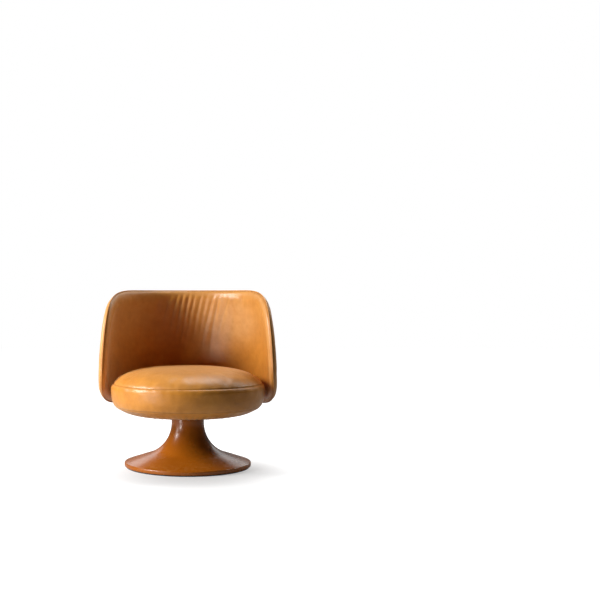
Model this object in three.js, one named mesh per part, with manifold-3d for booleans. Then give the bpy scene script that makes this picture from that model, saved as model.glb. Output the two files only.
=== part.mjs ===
// Pedestal swivel armchair: a round padded seat with an upholstered back that wraps round it,
// turning freely on a trumpet-shaped foot. Millimetres, +Z up, the sitter looks along -Y.
// The origin is on the swivel axis at floor level.

import * as THREE from 'three';
import * as BufferGeometryUtils from 'three/addons/utils/BufferGeometryUtils.js';
import Module from 'manifold-3d';

const wasm = await Module();
wasm.setup();

// Shared clearances and counts
const fit = 0.3; // gap between two pieces that touch
const overrun = 2; // how far a cutter reaches past what it cuts
const weld = 0.0005; // corners closer than this are one corner
const leather = 2; // cover leather with its backing

// Foot: felt pad, ballast plate and the spun steel trumpet
const foot_radius = 252;
const foot_edge_height = 19; // top of the rim above the floor
const foot_edge_round = 5;
const foot_wall = 3;
const foot_cone_degrees = 18.3; // slope of the foot where it runs out to the rim
const foot_lip_width = 26; // crimped under the ballast plate
const foot_lip_round = 2.5;
const neck_radius = 65;
const neck_sweep_radius = 130; // the hollow curve from neck to foot
const neck_gap = 4; // daylight between neck and swivel plate
const pad_thickness = 4;
const pad_inset = 5; // from the rim to the edge of the felt
const ballast_inset = 16; // from the rim to the plate's edge
const ballast_thickness = 10;

// Column inside the trumpet, with its bearings
const column_length = 166;
const column_radius = 32;
const column_bore = 25;
const column_flange_radius = 80;
const column_flange_thickness = 8;
const centring_thickness = 12;
const centring_drop = 14; // from the column's top to the underside of the centring ring
const spindle_radius = 16;
const lower_bush_rise = 40; // above the column's foot
const lower_bush_length = 30;
const upper_bush_length = 40;
const race_radius = 40;
const race_bore = 20;
const race_thickness = 3;
const ball_radius = 3.5;
const ball_circle = 31;
const ball_count = 10;
const cage_width = 9;
const cage_thickness = 3;
const washer_thickness = 2.2;
const ring_thickness = 2.5; // retaining ring
const ring_width = 6;
const ring_opening_degrees = 50;
const groove_depth = 2;
const spindle_tail = 6; // below the retaining ring
const shoulder_radius = 42;
const shoulder_height = 8.5;

// Swivel plate under the seat
const plate_radius = 110;
const plate_thickness = 6;

// Screws and nuts
const screw_circle_inset = 18; // from the edge of the flange or plate that they go through
const foot_screw = { shank: 5, head: 9, head_height: 6.4, count: 4 };
foot_screw.circle = column_flange_radius - screw_circle_inset;
const plate_bolt = { shank: 4, head: 7.5, head_height: 5.3, count: 4 };
plate_bolt.circle = plate_radius - screw_circle_inset;
const back_bolt = { shank: 5, head: 9, head_height: 6.4 };
const screw_tip_gap = 1; // a screw ends this far short of the far face
const nut_wall = 1.6;
const nut_length = 14;
const nut_flange = 11;
const nut_flange_thickness = 1.7;
const insert_length = 7;

// Seat: board and cushion
const seat_radius = 306.5; // widest, at the bulge
const top_seam_inset = 9.5; // each seam is drawn in from the bulge
const bottom_seam_inset = 15.5;
const board_inset = 81.5;
const board_thickness = 18;
const tuck_width = 25; // the leather is stapled under the board as far in as this
const dust_cover_inset = 9; // from the board's edge
const dust_cover_gap = 8; // round the swivel plate
const dust_cover_thickness = 2;
const seat_crown = 185; // heights above the underside of the board
const seat_top_seam = 118;
const seat_bulge = 88;
const seat_bottom_seam = 29;
const seam_opening = 0.6; // the two panels of a seam end this far apart

// Back: a padded shell wrapped round the seat, measured unrolled from its rear centre line
const back_forward = 12; // its centre is this far in front of the swivel axis
const back_bottom = 27; // heights above the underside of the board
const back_tip = 165;
const back_top = 487;
const back_gap = 16.5; // from the seat's bulge to the padding beside it
const back_inner_depth = 20; // padding inside the welt
const back_inner_roll = 34; // its edge is rounded over this width
const back_outer_depth = 12; // padding outside the welt
const back_outer_roll = 16;
const back_lean = 38.5; // how much narrower each side is at the top edge than low down
const back_lean_start = 106; // the wall starts to lean in at this height
const back_lean_power = 2.1; // how late the lean comes
const unroll_depth = 30; // the back is unrolled this far inside its outer face
const bottom_level_degrees = 62; // the bottom edge is level as far as this, then sweeps up
const sweep_low_degrees = 78;
const sweep_high = 95;
const back_wrap_degrees = 100; // to the tip of each wing
const rake_low_degrees = 101;
const rake_low = 387;
const rake_top_degrees = 92;
const top_level_degrees = 50; // the top edge is level as far as this
const shell_thickness = 9;
const shell_inset = 12; // the padding alone forms the edge
const shell_edge_gap = 0.9; // round the shell's own edge
const welt_radius = 2;
const welt_stand = 1.3; // centre of the welt outside the padding
const welt_slot = 2.4; // each cover stops this far from the seam surface

// Back brackets: steel angles on the board, with a sleeve and bolt out to the shell
const bracket_degrees = [-40, 0, 40];
const bracket_thickness = 5;
const bracket_foot = 60;
const bracket_width = 60;
const bracket_height = 87;
const bracket_inset = 10; // from the board's edge to the upright's outer face
const bracket_bend = 8;
const bracket_bolt_rise = 71; // bolt axis above the board's top
const sleeve_radius = 12;

// How finely round things are divided
const foot_segments = 48;
const seat_segments = 40;
const bearing_segments = 24;
const small_segments = 8;
const ball_segments = 6;
const corner_steps = 2;
const sweep_steps = 7;
const back_columns = 22;
const back_row_shares = [0, 0.14, 0.4, 0.7, 0.86, 1]; // closer together where the edge turns
const relax_rounds = 60;
const search_rounds = 24;
const nose_steps = 3;
const welt_sides = 6;

// Radii that follow from the seat and the foot
const ballast_radius = foot_radius - ballast_inset;
const top_seam_radius = seat_radius - top_seam_inset;
const bottom_seam_radius = seat_radius - bottom_seam_inset;
const board_radius = seat_radius - board_inset;
const tuck_radius = board_radius - tuck_width;
const dust_cover_radius = board_radius - dust_cover_inset;
const dust_cover_bore = plate_radius + dust_cover_gap;
const bracket_face = board_radius - bracket_inset;
const back_girth = seat_radius + back_gap + back_inner_depth + back_outer_depth;
const back_unroll_radius = back_girth - unroll_depth;

// Heights of the stack, from the floor up
const lip_bottom = pad_thickness + fit;
const lip_top = lip_bottom + foot_wall;
const ballast_bottom = lip_top + fit;
const ballast_top = ballast_bottom + ballast_thickness;
const column_bottom = ballast_top + fit;
const column_top = column_bottom + column_length;
const lower_race_bottom = column_top + fit;
const ball_centre = lower_race_bottom + race_thickness + fit + ball_radius;
const upper_race_bottom = ball_centre + ball_radius + fit;
const shoulder_bottom = upper_race_bottom + race_thickness + fit;
const shoulder_top = shoulder_bottom + shoulder_height;
const plate_bottom = shoulder_top + fit;
const plate_top = plate_bottom + plate_thickness;
const board_bottom = plate_top + fit;
const board_top = board_bottom + board_thickness;
const cushion_floor = board_top + fit;
const lower_bush_bottom = column_bottom + lower_bush_rise;
const washer_bottom = lower_bush_bottom - fit - washer_thickness;
const ring_bottom = washer_bottom - fit - ring_thickness;
const bolt_axis = board_top + bracket_bolt_rise;

// Materials, coloured as in the photograph or as such pieces usually are
const paint = (color, roughness, metalness) =>
  new THREE.MeshStandardMaterial({ color, roughness, metalness });
const tan_leather = () => paint(0xc98545, 0.45, 0);
const tan_lacquer = () => paint(0xa45a12, 0.35, 0.2);
const bare_steel = () => paint(0x9a9ca0, 0.4, 1);
const black_steel = () => paint(0x26272a, 0.5, 0.8);
const nylon = () => paint(0xe6e3da, 0.5, 0);
const felt = () => paint(0x1b1a19, 0.95, 0);
const black_cloth = () => paint(0x202022, 0.95, 0);
const plywood = () => paint(0xc9a877, 0.7, 0);
const grey_foam = () => paint(0xd9d6cc, 0.95, 0);
const cream_foam = () => paint(0xe8dfc4, 0.95, 0);

// Geometry helpers

const radians = THREE.MathUtils.degToRad;

// Keeps corner places only, joins equal corners, drops empty faces and turns the faces outward.
function closed(geometry) {
  geometry.deleteAttribute('normal');
  geometry.deleteAttribute('uv');
  const merged = BufferGeometryUtils.mergeVertices(geometry, weld);
  const place = merged.getAttribute('position');
  const corner = (i) => new THREE.Vector3().fromBufferAttribute(place, i);
  const faces = [];
  let volume = 0;
  const index = merged.getIndex().array;
  for (let i = 0; i < index.length; i += 3) {
    const [a, b, c] = [index[i], index[i + 1], index[i + 2]];
    if (a === b || b === c || c === a) continue;
    faces.push([a, b, c]);
    volume += corner(a).dot(corner(b).cross(corner(c)));
  }
  merged.setIndex(faces.flatMap(([a, b, c]) => (volume > 0 ? [a, b, c] : [a, c, b])));
  return merged;
}

function solid(geometry) {
  const body = closed(geometry);
  return new wasm.Manifold(
    new wasm.Mesh({
      numProp: 3,
      vertProperties: new Float32Array(body.getAttribute('position').array),
      triVerts: new Uint32Array(body.getIndex().array),
    }),
  );
}

function geometryOf(body) {
  const mesh = body.getMesh();
  const geometry = new THREE.BufferGeometry();
  geometry.setAttribute('position', new THREE.BufferAttribute(mesh.vertProperties.slice(), 3));
  geometry.setIndex(new THREE.BufferAttribute(mesh.triVerts.slice(), 1));
  return geometry;
}

// One geometry less a list of others.
function cut(geometry, cutters) {
  let body = solid(geometry);
  for (const cutter of cutters) body = body.subtract(solid(cutter));
  return geometryOf(body);
}

function joined(geometries) {
  const [first, ...others] = geometries.map(solid);
  return geometryOf(others.reduce((body, other) => body.add(other), first));
}

// A profile of [radius, height, rounding, steps] corners, with arcs at the rounded ones.
function rounded(corners) {
  const points = [];
  corners.forEach(([r, z, rounding = 0, steps = corner_steps], i) => {
    const here = new THREE.Vector2(r, z);
    if (rounding === 0) {
      points.push(here);
      return;
    }
    const before = new THREE.Vector2(...corners.at(i - 1).slice(0, 2)).sub(here).normalize();
    const after = new THREE.Vector2(...corners[(i + 1) % corners.length].slice(0, 2));
    after.sub(here).normalize();
    const half = Math.acos(THREE.MathUtils.clamp(before.dot(after), -1, 1)) / 2;
    const middle = before.clone().add(after).normalize();
    const centre = middle.multiplyScalar(rounding / Math.sin(half)).add(here);
    const start = before.multiplyScalar(rounding / Math.tan(half)).add(here).sub(centre);
    const end = after.multiplyScalar(rounding / Math.tan(half)).add(here).sub(centre);
    const turn = Math.atan2(start.cross(end), start.dot(end));
    for (let k = 0; k <= steps; k += 1) {
      points.push(start.clone().rotateAround(new THREE.Vector2(), (turn * k) / steps).add(centre));
    }
  });
  return points;
}

// A profile of [radius, height] points turned round the Z axis. One that stays clear of the
// axis is closed on itself.
function turned(profile, segments) {
  const points = profile.map((p) => (Array.isArray(p) ? new THREE.Vector2(...p) : p));
  const on_axis = points[0].x === 0 && points.at(-1).x === 0;
  const line = on_axis ? points : [...points, points[0]];
  return new THREE.LatheGeometry(line, segments).rotateX(radians(90));
}

function ring(inner, outer, bottom, top, segments) {
  const profile = [[inner, bottom], [outer, bottom], [outer, top], [inner, top]];
  return turned(profile, segments);
}

function disc(radius, bottom, top, segments) {
  return turned([[0, bottom], [radius, bottom], [radius, top], [0, top]], segments);
}

// An upright round cutter or shank from one height to another.
function rod(radius, bottom, top, segments = small_segments) {
  return disc(radius, bottom, top, segments);
}

// A rod lying along the radius at the rear, between two distances from the axis.
function radialRod(radius, from, to, height) {
  return rod(radius, from, to).rotateX(radians(-90)).translate(0, 0, height);
}

// Hexagon screw along +Z, its head under the origin plane.
function screw({ shank, head, head_height }, length) {
  const hexagon = new THREE.CylinderGeometry(head, head, head_height, 6).rotateX(radians(90));
  hexagon.translate(0, 0, -head_height / 2);
  return joined([hexagon, rod(shank, -head_height / 2, length)]);
}

function mesh(name, geometry, material) {
  const piece = new THREE.Mesh(closed(geometry), material);
  piece.name = name;
  return piece;
}

// Copies round the axis: each is turned by its share of the circle.
function around(count, make) {
  return Array.from({ length: count }, (_, i) => {
    const piece = make(i + 1);
    piece.rotation.z = radians((360 * (i + 0.5)) / count);
    return piece;
  });
}

function circleCutters(radius, { circle, count }, bottom, top) {
  return Array.from({ length: count }, (_, i) =>
    rod(radius, bottom, top)
      .translate(circle, 0, 0)
      .rotateZ(radians((360 * (i + 0.5)) / count)),
  );
}

// Foot

function floorPad() {
  const radius = foot_radius - pad_inset;
  return mesh('floor_pad', disc(radius, 0, pad_thickness, foot_segments), felt());
}

function ballastPlate() {
  const plate = disc(ballast_radius, ballast_bottom, ballast_top, foot_segments);
  const hole = foot_screw.shank + fit;
  const holes = circleCutters(hole, foot_screw, ballast_bottom - overrun, ballast_top + overrun);
  return mesh('ballast_plate', cut(plate, holes), bare_steel());
}

// Height of the trumpet's cone, carried in to a radius, for a line moved in by a wall.
function coneHeight(radius, wall) {
  const slope = radians(foot_cone_degrees);
  const drop = wall / Math.cos(slope);
  return foot_edge_height + (foot_radius - radius) * Math.tan(slope) - drop;
}

function pedestalShell() {
  const neck_top = plate_bottom - neck_gap;
  const neck_inner = neck_radius - foot_wall;
  const rim_inner = foot_radius - foot_wall;
  const lip_inner = foot_radius - foot_lip_width;
  const outside = rounded([
    [neck_inner, neck_top],
    [neck_radius, neck_top],
    [neck_radius, coneHeight(neck_radius, 0), neck_sweep_radius, sweep_steps],
    [foot_radius, foot_edge_height, foot_edge_round],
    [foot_radius, lip_bottom, foot_lip_round],
    [lip_inner, lip_bottom],
  ]);
  const inside = rounded([
    [lip_inner, lip_bottom],
    [lip_inner, lip_top],
    [rim_inner, lip_top],
    [rim_inner, coneHeight(rim_inner, foot_wall)],
    [neck_inner, coneHeight(neck_inner, foot_wall), neck_sweep_radius + foot_wall, sweep_steps],
    [neck_inner, neck_top],
  ]);
  const profile = [...outside, ...inside.slice(1, -1)];
  return mesh('pedestal_shell', turned(profile, foot_segments), tan_lacquer());
}

function columnTube() {
  const flange_top = column_bottom + column_flange_thickness;
  const profile = [
    [column_bore, column_bottom],
    [column_flange_radius, column_bottom],
    [column_flange_radius, flange_top],
    [column_radius, flange_top],
    [column_radius, column_top],
    [column_bore, column_top],
  ];
  const hole = foot_screw.shank + fit;
  const holes = circleCutters(hole, foot_screw, column_bottom - overrun, flange_top + overrun);
  return mesh('column_tube', cut(turned(profile, bearing_segments), holes), black_steel());
}

function footScrews() {
  const seat = column_bottom + column_flange_thickness + fit;
  const length = seat - ballast_bottom - screw_tip_gap;
  return around(foot_screw.count, (number) => {
    const geometry = screw(foot_screw, length).rotateX(radians(180));
    geometry.translate(foot_screw.circle, 0, seat);
    return mesh(`foot_screw_${number}`, geometry, bare_steel());
  });
}

function centringRing() {
  const bottom = column_top - centring_drop;
  const outer = neck_radius - foot_wall - 2 * fit;
  const piece = ring(
    column_radius + fit, outer, bottom, bottom + centring_thickness, bearing_segments,
  );
  return mesh('neck_centring_ring', piece, nylon());
}

// Bearings

function bush(name, bottom, length) {
  const inner = spindle_radius + fit;
  const piece = ring(inner, column_bore - fit, bottom, bottom + length, bearing_segments);
  return mesh(name, piece, nylon());
}

function race(name, bottom) {
  const piece = ring(race_bore, race_radius, bottom, bottom + race_thickness, bearing_segments);
  return mesh(name, piece, bare_steel());
}

function ballRing() {
  const cage = ring(
    ball_circle - cage_width / 2, ball_circle + cage_width / 2,
    ball_centre - cage_thickness / 2, ball_centre + cage_thickness / 2, bearing_segments,
  );
  const balls = Array.from({ length: ball_count }, (_, i) =>
    new THREE.SphereGeometry(ball_radius, ball_segments, ball_segments / 2 + 1)
      .rotateX(radians(90))
      .translate(ball_circle, 0, ball_centre)
      .rotateZ(radians((360 * (i + 0.5)) / ball_count)),
  );
  return mesh('ball_ring', joined([cage, ...balls]), bare_steel());
}

// Turning hardware

function spindle() {
  const core = spindle_radius - groove_depth;
  const groove_bottom = ring_bottom - fit;
  const groove_top = washer_bottom;
  const profile = [
    [0, groove_bottom - spindle_tail],
    [spindle_radius, groove_bottom - spindle_tail],
    [spindle_radius, groove_bottom],
    [core, groove_bottom],
    [core, groove_top],
    [spindle_radius, groove_top],
    [spindle_radius, shoulder_bottom],
    [shoulder_radius, shoulder_bottom],
    [shoulder_radius, shoulder_top],
    [0, shoulder_top],
  ];
  return mesh('spindle', turned(profile, bearing_segments), bare_steel());
}

function spindleWasher() {
  const piece = ring(
    spindle_radius + fit, column_bore - 2 * fit,
    washer_bottom, washer_bottom + washer_thickness, bearing_segments,
  );
  return mesh('spindle_washer', piece, bare_steel());
}

function retainingRing() {
  const inner = spindle_radius - groove_depth + fit;
  const from = radians(ring_opening_degrees / 2);
  const to = radians(360 - ring_opening_degrees / 2);
  const shape = new THREE.Shape();
  shape.absarc(0, 0, inner + ring_width, from, to, false);
  shape.absarc(0, 0, inner, to, from, true);
  const options = { depth: ring_thickness, bevelEnabled: false, curveSegments: small_segments };
  const geometry = new THREE.ExtrudeGeometry(shape, options).translate(0, 0, ring_bottom);
  return mesh('retaining_ring', geometry, black_steel());
}

function swivelPlate() {
  const plate = disc(plate_radius, plate_bottom, plate_top, seat_segments);
  const hole = plate_bolt.shank + fit;
  const holes = circleCutters(hole, plate_bolt, plate_bottom - overrun, plate_top + overrun);
  return mesh('swivel_plate', cut(plate, holes), black_steel());
}

function plateBolts() {
  const length = board_top - screw_tip_gap - plate_bottom;
  return around(plate_bolt.count, (number) => {
    const geometry = screw(plate_bolt, length);
    geometry.translate(plate_bolt.circle, 0, plate_bottom - fit);
    return mesh(`plate_bolt_${number}`, geometry, bare_steel());
  });
}

function teeNuts() {
  const bore = plate_bolt.shank + fit;
  const barrel = bore + nut_wall;
  const bottom = board_top - nut_length;
  const step = board_top - nut_flange_thickness;
  const profile = [
    [bore, bottom], [barrel, bottom], [barrel, step],
    [nut_flange, step], [nut_flange, board_top], [bore, board_top],
  ];
  return around(plate_bolt.count, (number) => {
    const geometry = turned(profile, small_segments).translate(plate_bolt.circle, 0, 0);
    return mesh(`tee_nut_${number}`, geometry, bare_steel());
  });
}

// Seat

function seatBoard() {
  const board = disc(board_radius, board_bottom, board_top, seat_segments);
  const barrel = plate_bolt.shank + nut_wall + 2 * fit;
  const step = board_top - nut_flange_thickness - fit;
  const cutters = [
    ...circleCutters(barrel, plate_bolt, board_bottom - overrun, board_top + overrun),
    ...circleCutters(nut_flange + fit, plate_bolt, step, board_top + overrun),
  ];
  return mesh('seat_board', cut(board, cutters), plywood());
}

function dustCover() {
  const top = board_bottom - leather - 2 * fit;
  const piece = ring(
    dust_cover_bore, dust_cover_radius, top - dust_cover_thickness, top, seat_segments,
  );
  return mesh('dust_cover', piece, black_cloth());
}

// The cushion's outside as shares of its sizes: [radius, height] from the centre of the crown
// to the top seam, then round the bulge to the bottom seam, then under to the board's edge.
const crown_shares = [[0, 1], [0.27, 0.98], [0.51, 0.91], [0.73, 0.745], [0.875, 0.505],
  [0.96, 0.24], [1, 0]];
const side_shares = [[0, 1], [0.62, 0.77], [1, 0.5], [1, 0.2], [0.8, -0.5], [0.4, -0.82], [0, -1]];
const under_shares = [[1, 0], [0.864, 0.23], [0.652, 0.47], [0.379, 0.74], [0, 1]];

const crownLine = (inset) => crown_shares.map(([r, z]) => [
  (top_seam_radius - inset) * r,
  board_bottom + seat_top_seam + (seat_crown - seat_top_seam - inset) * z,
]);

// Above the bulge the shares run to the top seam, below it to the bottom seam.
const sideLine = (inset) => side_shares.map(([r, z]) => {
  const seam = z > 0 ? top_seam_radius : bottom_seam_radius;
  const reach = z > 0 ? seat_top_seam - seat_bulge : seat_bulge - seat_bottom_seam;
  return [seam - inset + (seat_radius - seam) * r, board_bottom + seat_bulge + reach * z];
});

const underLine = (inset) => under_shares.map(([r, z]) => [
  board_radius + (bottom_seam_radius - inset - board_radius) * r,
  board_bottom + seat_bottom_seam - (seat_bottom_seam + leather + fit - inset) * z,
]);

// A leather panel: the outer line, and the same line one leather further in.
function panel(name, outer, inner) {
  return mesh(name, turned([...outer, ...inner.reverse()], seat_segments), tan_leather());
}

function seatTopCover() {
  const lift = ([r, z]) => [r, Math.max(z, board_bottom + seat_top_seam + seam_opening / 2)];
  return panel('seat_top_cover', crownLine(0).map(lift), crownLine(leather).map(lift));
}

function seatSideCover() {
  const top = board_bottom + seat_top_seam - seam_opening / 2;
  const bottom = board_bottom + seat_bottom_seam + seam_opening / 2;
  const trim = ([r, z]) => [r, THREE.MathUtils.clamp(z, bottom, top)];
  const profile = [...sideLine(0).map(trim), ...sideLine(leather).map(trim).reverse()];
  const cover = turned(profile, seat_segments);
  return mesh('seat_side_cover', cut(cover, sleeveCutters()), tan_leather());
}

function seatUnderCover() {
  const top = board_bottom + seat_bottom_seam - seam_opening / 2;
  const trim = ([r, z]) => [r, Math.min(z, top)];
  const outer = [...underLine(0).map(trim), [tuck_radius, board_bottom - leather - fit]];
  const inner = [...underLine(leather).map(trim), [tuck_radius, board_bottom - fit]];
  return panel('seat_under_cover', outer, inner);
}

// One foam block fills the covers above and round the board, with pockets for the brackets.
function seatFoam() {
  const inset = leather + fit;
  const beside_board = board_radius + fit;
  const [side, under] = [sideLine(inset), underLine(inset)];
  const profile = [
    [0, cushion_floor],
    [beside_board, cushion_floor],
    [beside_board, board_bottom + fit],
    ...under.slice(0, -1).reverse(),
    ...side.slice(1, -1).reverse(),
    ...crownLine(inset).filter((_, i) => i % 2 === 0).reverse(),
  ];
  const foam = turned(profile, seat_segments);
  const cutters = [
    ...bracket_degrees.map((turn) => bracketBlank(fit).rotateZ(radians(turn))),
    ...bracket_degrees.map((turn) => headPocket().rotateZ(radians(turn))),
    ...sleeveCutters(),
  ];
  return mesh('seat_foam', cut(foam, cutters), cream_foam());
}

// Back brackets

function bracketBlank(grow) {
  const face = bracket_face + grow;
  const back = bracket_face - bracket_thickness - grow;
  const bottom = cushion_floor - grow;
  const corners = rounded([
    [face - bracket_foot - 2 * grow, bottom],
    [face, bottom, bracket_bend],
    [face, cushion_floor + bracket_height + grow],
    [back, cushion_floor + bracket_height + grow],
    [back, cushion_floor + bracket_thickness + grow],
    [face - bracket_foot - 2 * grow, cushion_floor + bracket_thickness + grow],
  ]);
  const width = bracket_width + 2 * grow;
  const options = { depth: width, bevelEnabled: false };
  return new THREE.ExtrudeGeometry(new THREE.Shape(corners), options)
    .rotateX(radians(90))
    .rotateZ(radians(90))
    .translate(-width / 2, 0, 0);
}

const bolt_hole = back_bolt.shank + fit;
const bolt_seat = bracket_face - bracket_thickness - fit;
const sleeve_start = bracket_face + fit;

// Distance from the swivel axis to the shell's inner face, along a bolt.
const shellFace = (turn) =>
  seamRadius(bolt_axis) - shell_thickness / 2 - back_forward * Math.cos(radians(turn));

function headPocket() {
  const reach = bolt_seat - back_bolt.head_height - fit;
  const across_flats = Math.cos(Math.PI / small_segments);
  return radialRod((back_bolt.head + fit) / across_flats, reach, bracket_face, bolt_axis);
}

function sleeveCutters() {
  return bracket_degrees.map((turn) =>
    radialRod(sleeve_radius + fit, bracket_face, shellFace(turn), bolt_axis)
      .rotateZ(radians(turn)));
}

function backBrackets() {
  const hole = radialRod(
    bolt_hole, bracket_face - bracket_thickness - overrun, bracket_face + overrun, bolt_axis,
  );
  return bracketSet('back_bracket', () => cut(bracketBlank(0), [hole.clone()]), black_steel);
}

function backBolts() {
  const geometry = (turn) => {
    const length = shellFace(turn) + insert_length - screw_tip_gap - bolt_seat;
    return screw(back_bolt, length).rotateX(radians(-90)).translate(0, bolt_seat, bolt_axis);
  };
  return bracketSet('back_bolt', geometry, bare_steel);
}

function tubeAlongBolt(outer, from, to) {
  return ring(bolt_hole, outer, from, to, small_segments)
    .rotateX(radians(-90))
    .translate(0, 0, bolt_axis);
}

// The sleeves' outer ends are cut to the curve of the shell that they clamp.
function backSleeves() {
  const seat_face = backSlab(
    [[0, shell_thickness]],
    [[0, -shell_thickness / 2 - fit]],
  );
  return bracket_degrees.map((turn, i) => {
    const end = shellFace(turn) + overrun;
    const tube = tubeAlongBolt(sleeve_radius, sleeve_start, end).rotateZ(radians(turn));
    return mesh(`back_sleeve_${i + 1}`, cut(tube, [seat_face.clone()]), black_steel());
  });
}

function backInserts() {
  const geometry = (turn) => {
    const start = shellFace(turn);
    return tubeAlongBolt(bolt_hole + 2 * nut_wall, start, start + insert_length);
  };
  return bracketSet('back_insert', geometry, bare_steel);
}

function bracketSet(name, geometry, material) {
  return bracket_degrees.map((turn, i) => {
    const piece = mesh(`${name}_${i + 1}`, geometry(turn), material());
    piece.rotation.z = radians(turn);
    return piece;
  });
}

// Back

// Radius of the surface that the welt and both edges of the covers lie on.
function seamRadius(height) {
  const rise = height - board_bottom - back_lean_start;
  const share = Math.max(0, rise / (back_top - back_lean_start));
  return back_girth - back_outer_depth - back_lean * share ** back_lean_power;
}

// Half of the back's outline, unrolled: x is the way round from the rear centre line.
function halfOutline() {
  const across = (degrees) => radians(degrees) * back_unroll_radius;
  const path = new THREE.Path();
  const bottom = board_bottom + back_bottom;
  const top = board_bottom + back_top;
  path.moveTo(0, bottom);
  path.lineTo(across(bottom_level_degrees), bottom);
  path.bezierCurveTo(
    across(sweep_low_degrees), bottom,
    across(back_wrap_degrees), board_bottom + sweep_high,
    across(back_wrap_degrees), board_bottom + back_tip,
  );
  path.bezierCurveTo(
    across(rake_low_degrees), board_bottom + rake_low,
    across(rake_top_degrees), top,
    across(top_level_degrees), top,
  );
  path.lineTo(0, top);
  return path;
}

const outline = halfOutline();

// Way along the half outline to where it has turned by an angle from level.
function shareAtTurn(degrees) {
  let [low, high] = [0, 1];
  for (let round = 0; round < search_rounds; round += 1) {
    const middle = (low + high) / 2;
    const along = outline.getTangentAt(middle);
    if (Math.atan2(along.y, along.x) < radians(degrees)) low = middle;
    else high = middle;
  }
  return low;
}

const toe_share = shareAtTurn(45); // the middle of the wing's lower sweep
const shoulder_share = shareAtTurn(135);

// Outline points in order round the back, moved in by an inset: along the bottom from the
// -X wing to the +X wing, up that wing, back along the top and down the other wing.
function boundary(inset) {
  const half = (share, side) => {
    const point = outline.getPointAt(share);
    const along = outline.getTangentAt(share);
    return [side * (point.x - along.y * inset), point.y + along.x * inset];
  };
  const points = [];
  const halves = back_columns / 2;
  const up_wing = (share) =>
    THREE.MathUtils.lerp(toe_share, shoulder_share, share);
  for (let i = 0; i < back_columns; i += 1) {
    const way = (i - halves) / halves;
    points.push(half(toe_share * Math.abs(way), Math.sign(way) || 1));
  }
  back_row_shares.slice(0, -1).forEach((share) => points.push(half(up_wing(share), 1)));
  for (let i = 0; i < back_columns; i += 1) {
    const way = (halves - i) / halves;
    points.push(half(1 - (1 - shoulder_share) * Math.abs(way), Math.sign(way) || 1));
  }
  back_row_shares.slice(1).reverse().forEach((share) => points.push(half(up_wing(share), -1)));
  return points;
}

// Point of the back: way round, height, and depth outward from the seam surface.
function backPoint([across, height], depth) {
  const angle = across / back_unroll_radius;
  const radius = seamRadius(height) + depth;
  return [radius * Math.sin(angle), radius * Math.cos(angle) - back_forward, height];
}

// A slab of the back between two faces. Each face is a list of [inset, depth] steps from its
// edge inward; past the last step it keeps that depth.
function backSlab(front, back) {
  const corners = [];
  const faces = [];
  const add = (point, depth) => corners.push(...backPoint(point, depth)) / 3 - 1;
  const quad = (a, b, c, d, flipped) => {
    faces.push(...(flipped ? [a, c, b, a, d, c] : [a, b, c, a, c, d]));
  };
  const strip = (outer, inner, flipped) => outer.forEach((_, i) => {
    const next = (i + 1) % outer.length;
    quad(outer[i], outer[next], inner[next], inner[i], flipped);
  });
  const face = (steps, flipped) => {
    const loops = steps.map(([inset, depth]) => boundary(inset).map((p) => add(p, depth)));
    loops.slice(1).forEach((loop, k) => strip(loops[k], loop, flipped));
    const [inset, depth] = steps.at(-1);
    fillGrid(boundary(inset), loops.at(-1), (point) => add(point, depth), quad, flipped);
    return loops[0];
  };
  const front_edge = face(front, false);
  const back_edge = face(back, true);
  strip(front_edge, back_edge, true);
  const geometry = new THREE.BufferGeometry();
  geometry.setAttribute('position', new THREE.Float32BufferAttribute(corners, 3));
  geometry.setIndex(faces);
  return geometry;
}

// Fills a closed boundary with rows and columns that run between its four sides, each inner
// crossing moved to the middle of its four neighbours until they lie evenly.
function fillGrid(edge, loop, add, quad, flipped) {
  const [columns, rows] = [back_columns, back_row_shares.length - 1];
  const place = (i, j) => {
    if (j === 0) return i;
    if (i === columns) return columns + j;
    if (j === rows) return 2 * columns + rows - i;
    return (2 * (columns + rows) - j) % edge.length;
  };
  const inside = (i, j) => i > 0 && j > 0 && i < columns && j < rows;
  const plan = [];
  for (let i = 0; i <= columns; i += 1) {
    plan.push([]);
    for (let j = 0; j <= rows; j += 1) {
      const [low, high] = [edge[place(i, 0)], edge[place(i, rows)]];
      const between = [0, 1].map((k) => THREE.MathUtils.lerp(low[k], high[k], j / rows));
      plan[i].push(inside(i, j) ? between : edge[place(i, j)]);
    }
  }
  for (let round = 0; round < relax_rounds; round += 1) {
    for (let i = 1; i < columns; i += 1) {
      for (let j = 1; j < rows; j += 1) {
        const near = [plan[i - 1][j], plan[i + 1][j], plan[i][j - 1], plan[i][j + 1]];
        plan[i][j] = [0, 1].map((k) => near.reduce((sum, p) => sum + p[k], 0) / near.length);
      }
    }
  }
  const node = plan.map((column, i) =>
    column.map((point, j) => (inside(i, j) ? add(point) : loop[place(i, j)])));
  // The diagonals run in from the four corners, alike on both wings.
  for (let i = 0; i < columns; i += 1) {
    for (let j = 0; j < rows; j += 1) {
      const ends = [node[i][j], node[i + 1][j], node[i + 1][j + 1], node[i][j + 1]];
      const from_first = i < columns / 2 === j < rows / 2;
      const [a, b, c, d] = from_first ? ends : [...ends.slice(1), ends[0]];
      quad(a, b, c, d, flipped);
    }
  }
}

// Steps of a rounded edge: from a height near the seam round to the full depth, over a roll's
// width, everything moved in by the thickness of what lies over it.
function nose({ depth, roll, side }, skin) {
  const first = Math.asin(welt_slot / (depth - skin));
  return Array.from({ length: nose_steps + 1 }, (_, k) => {
    const angle = THREE.MathUtils.lerp(first, radians(90), k / nose_steps);
    const inset = skin + (roll - skin) * (1 - Math.cos(angle));
    return [inset, side * (depth - skin) * Math.sin(angle)];
  });
}

const inner_side = { depth: back_inner_depth, roll: back_inner_roll, side: -1 };
const outer_side = { depth: back_outer_depth, roll: back_outer_roll, side: 1 };

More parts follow.
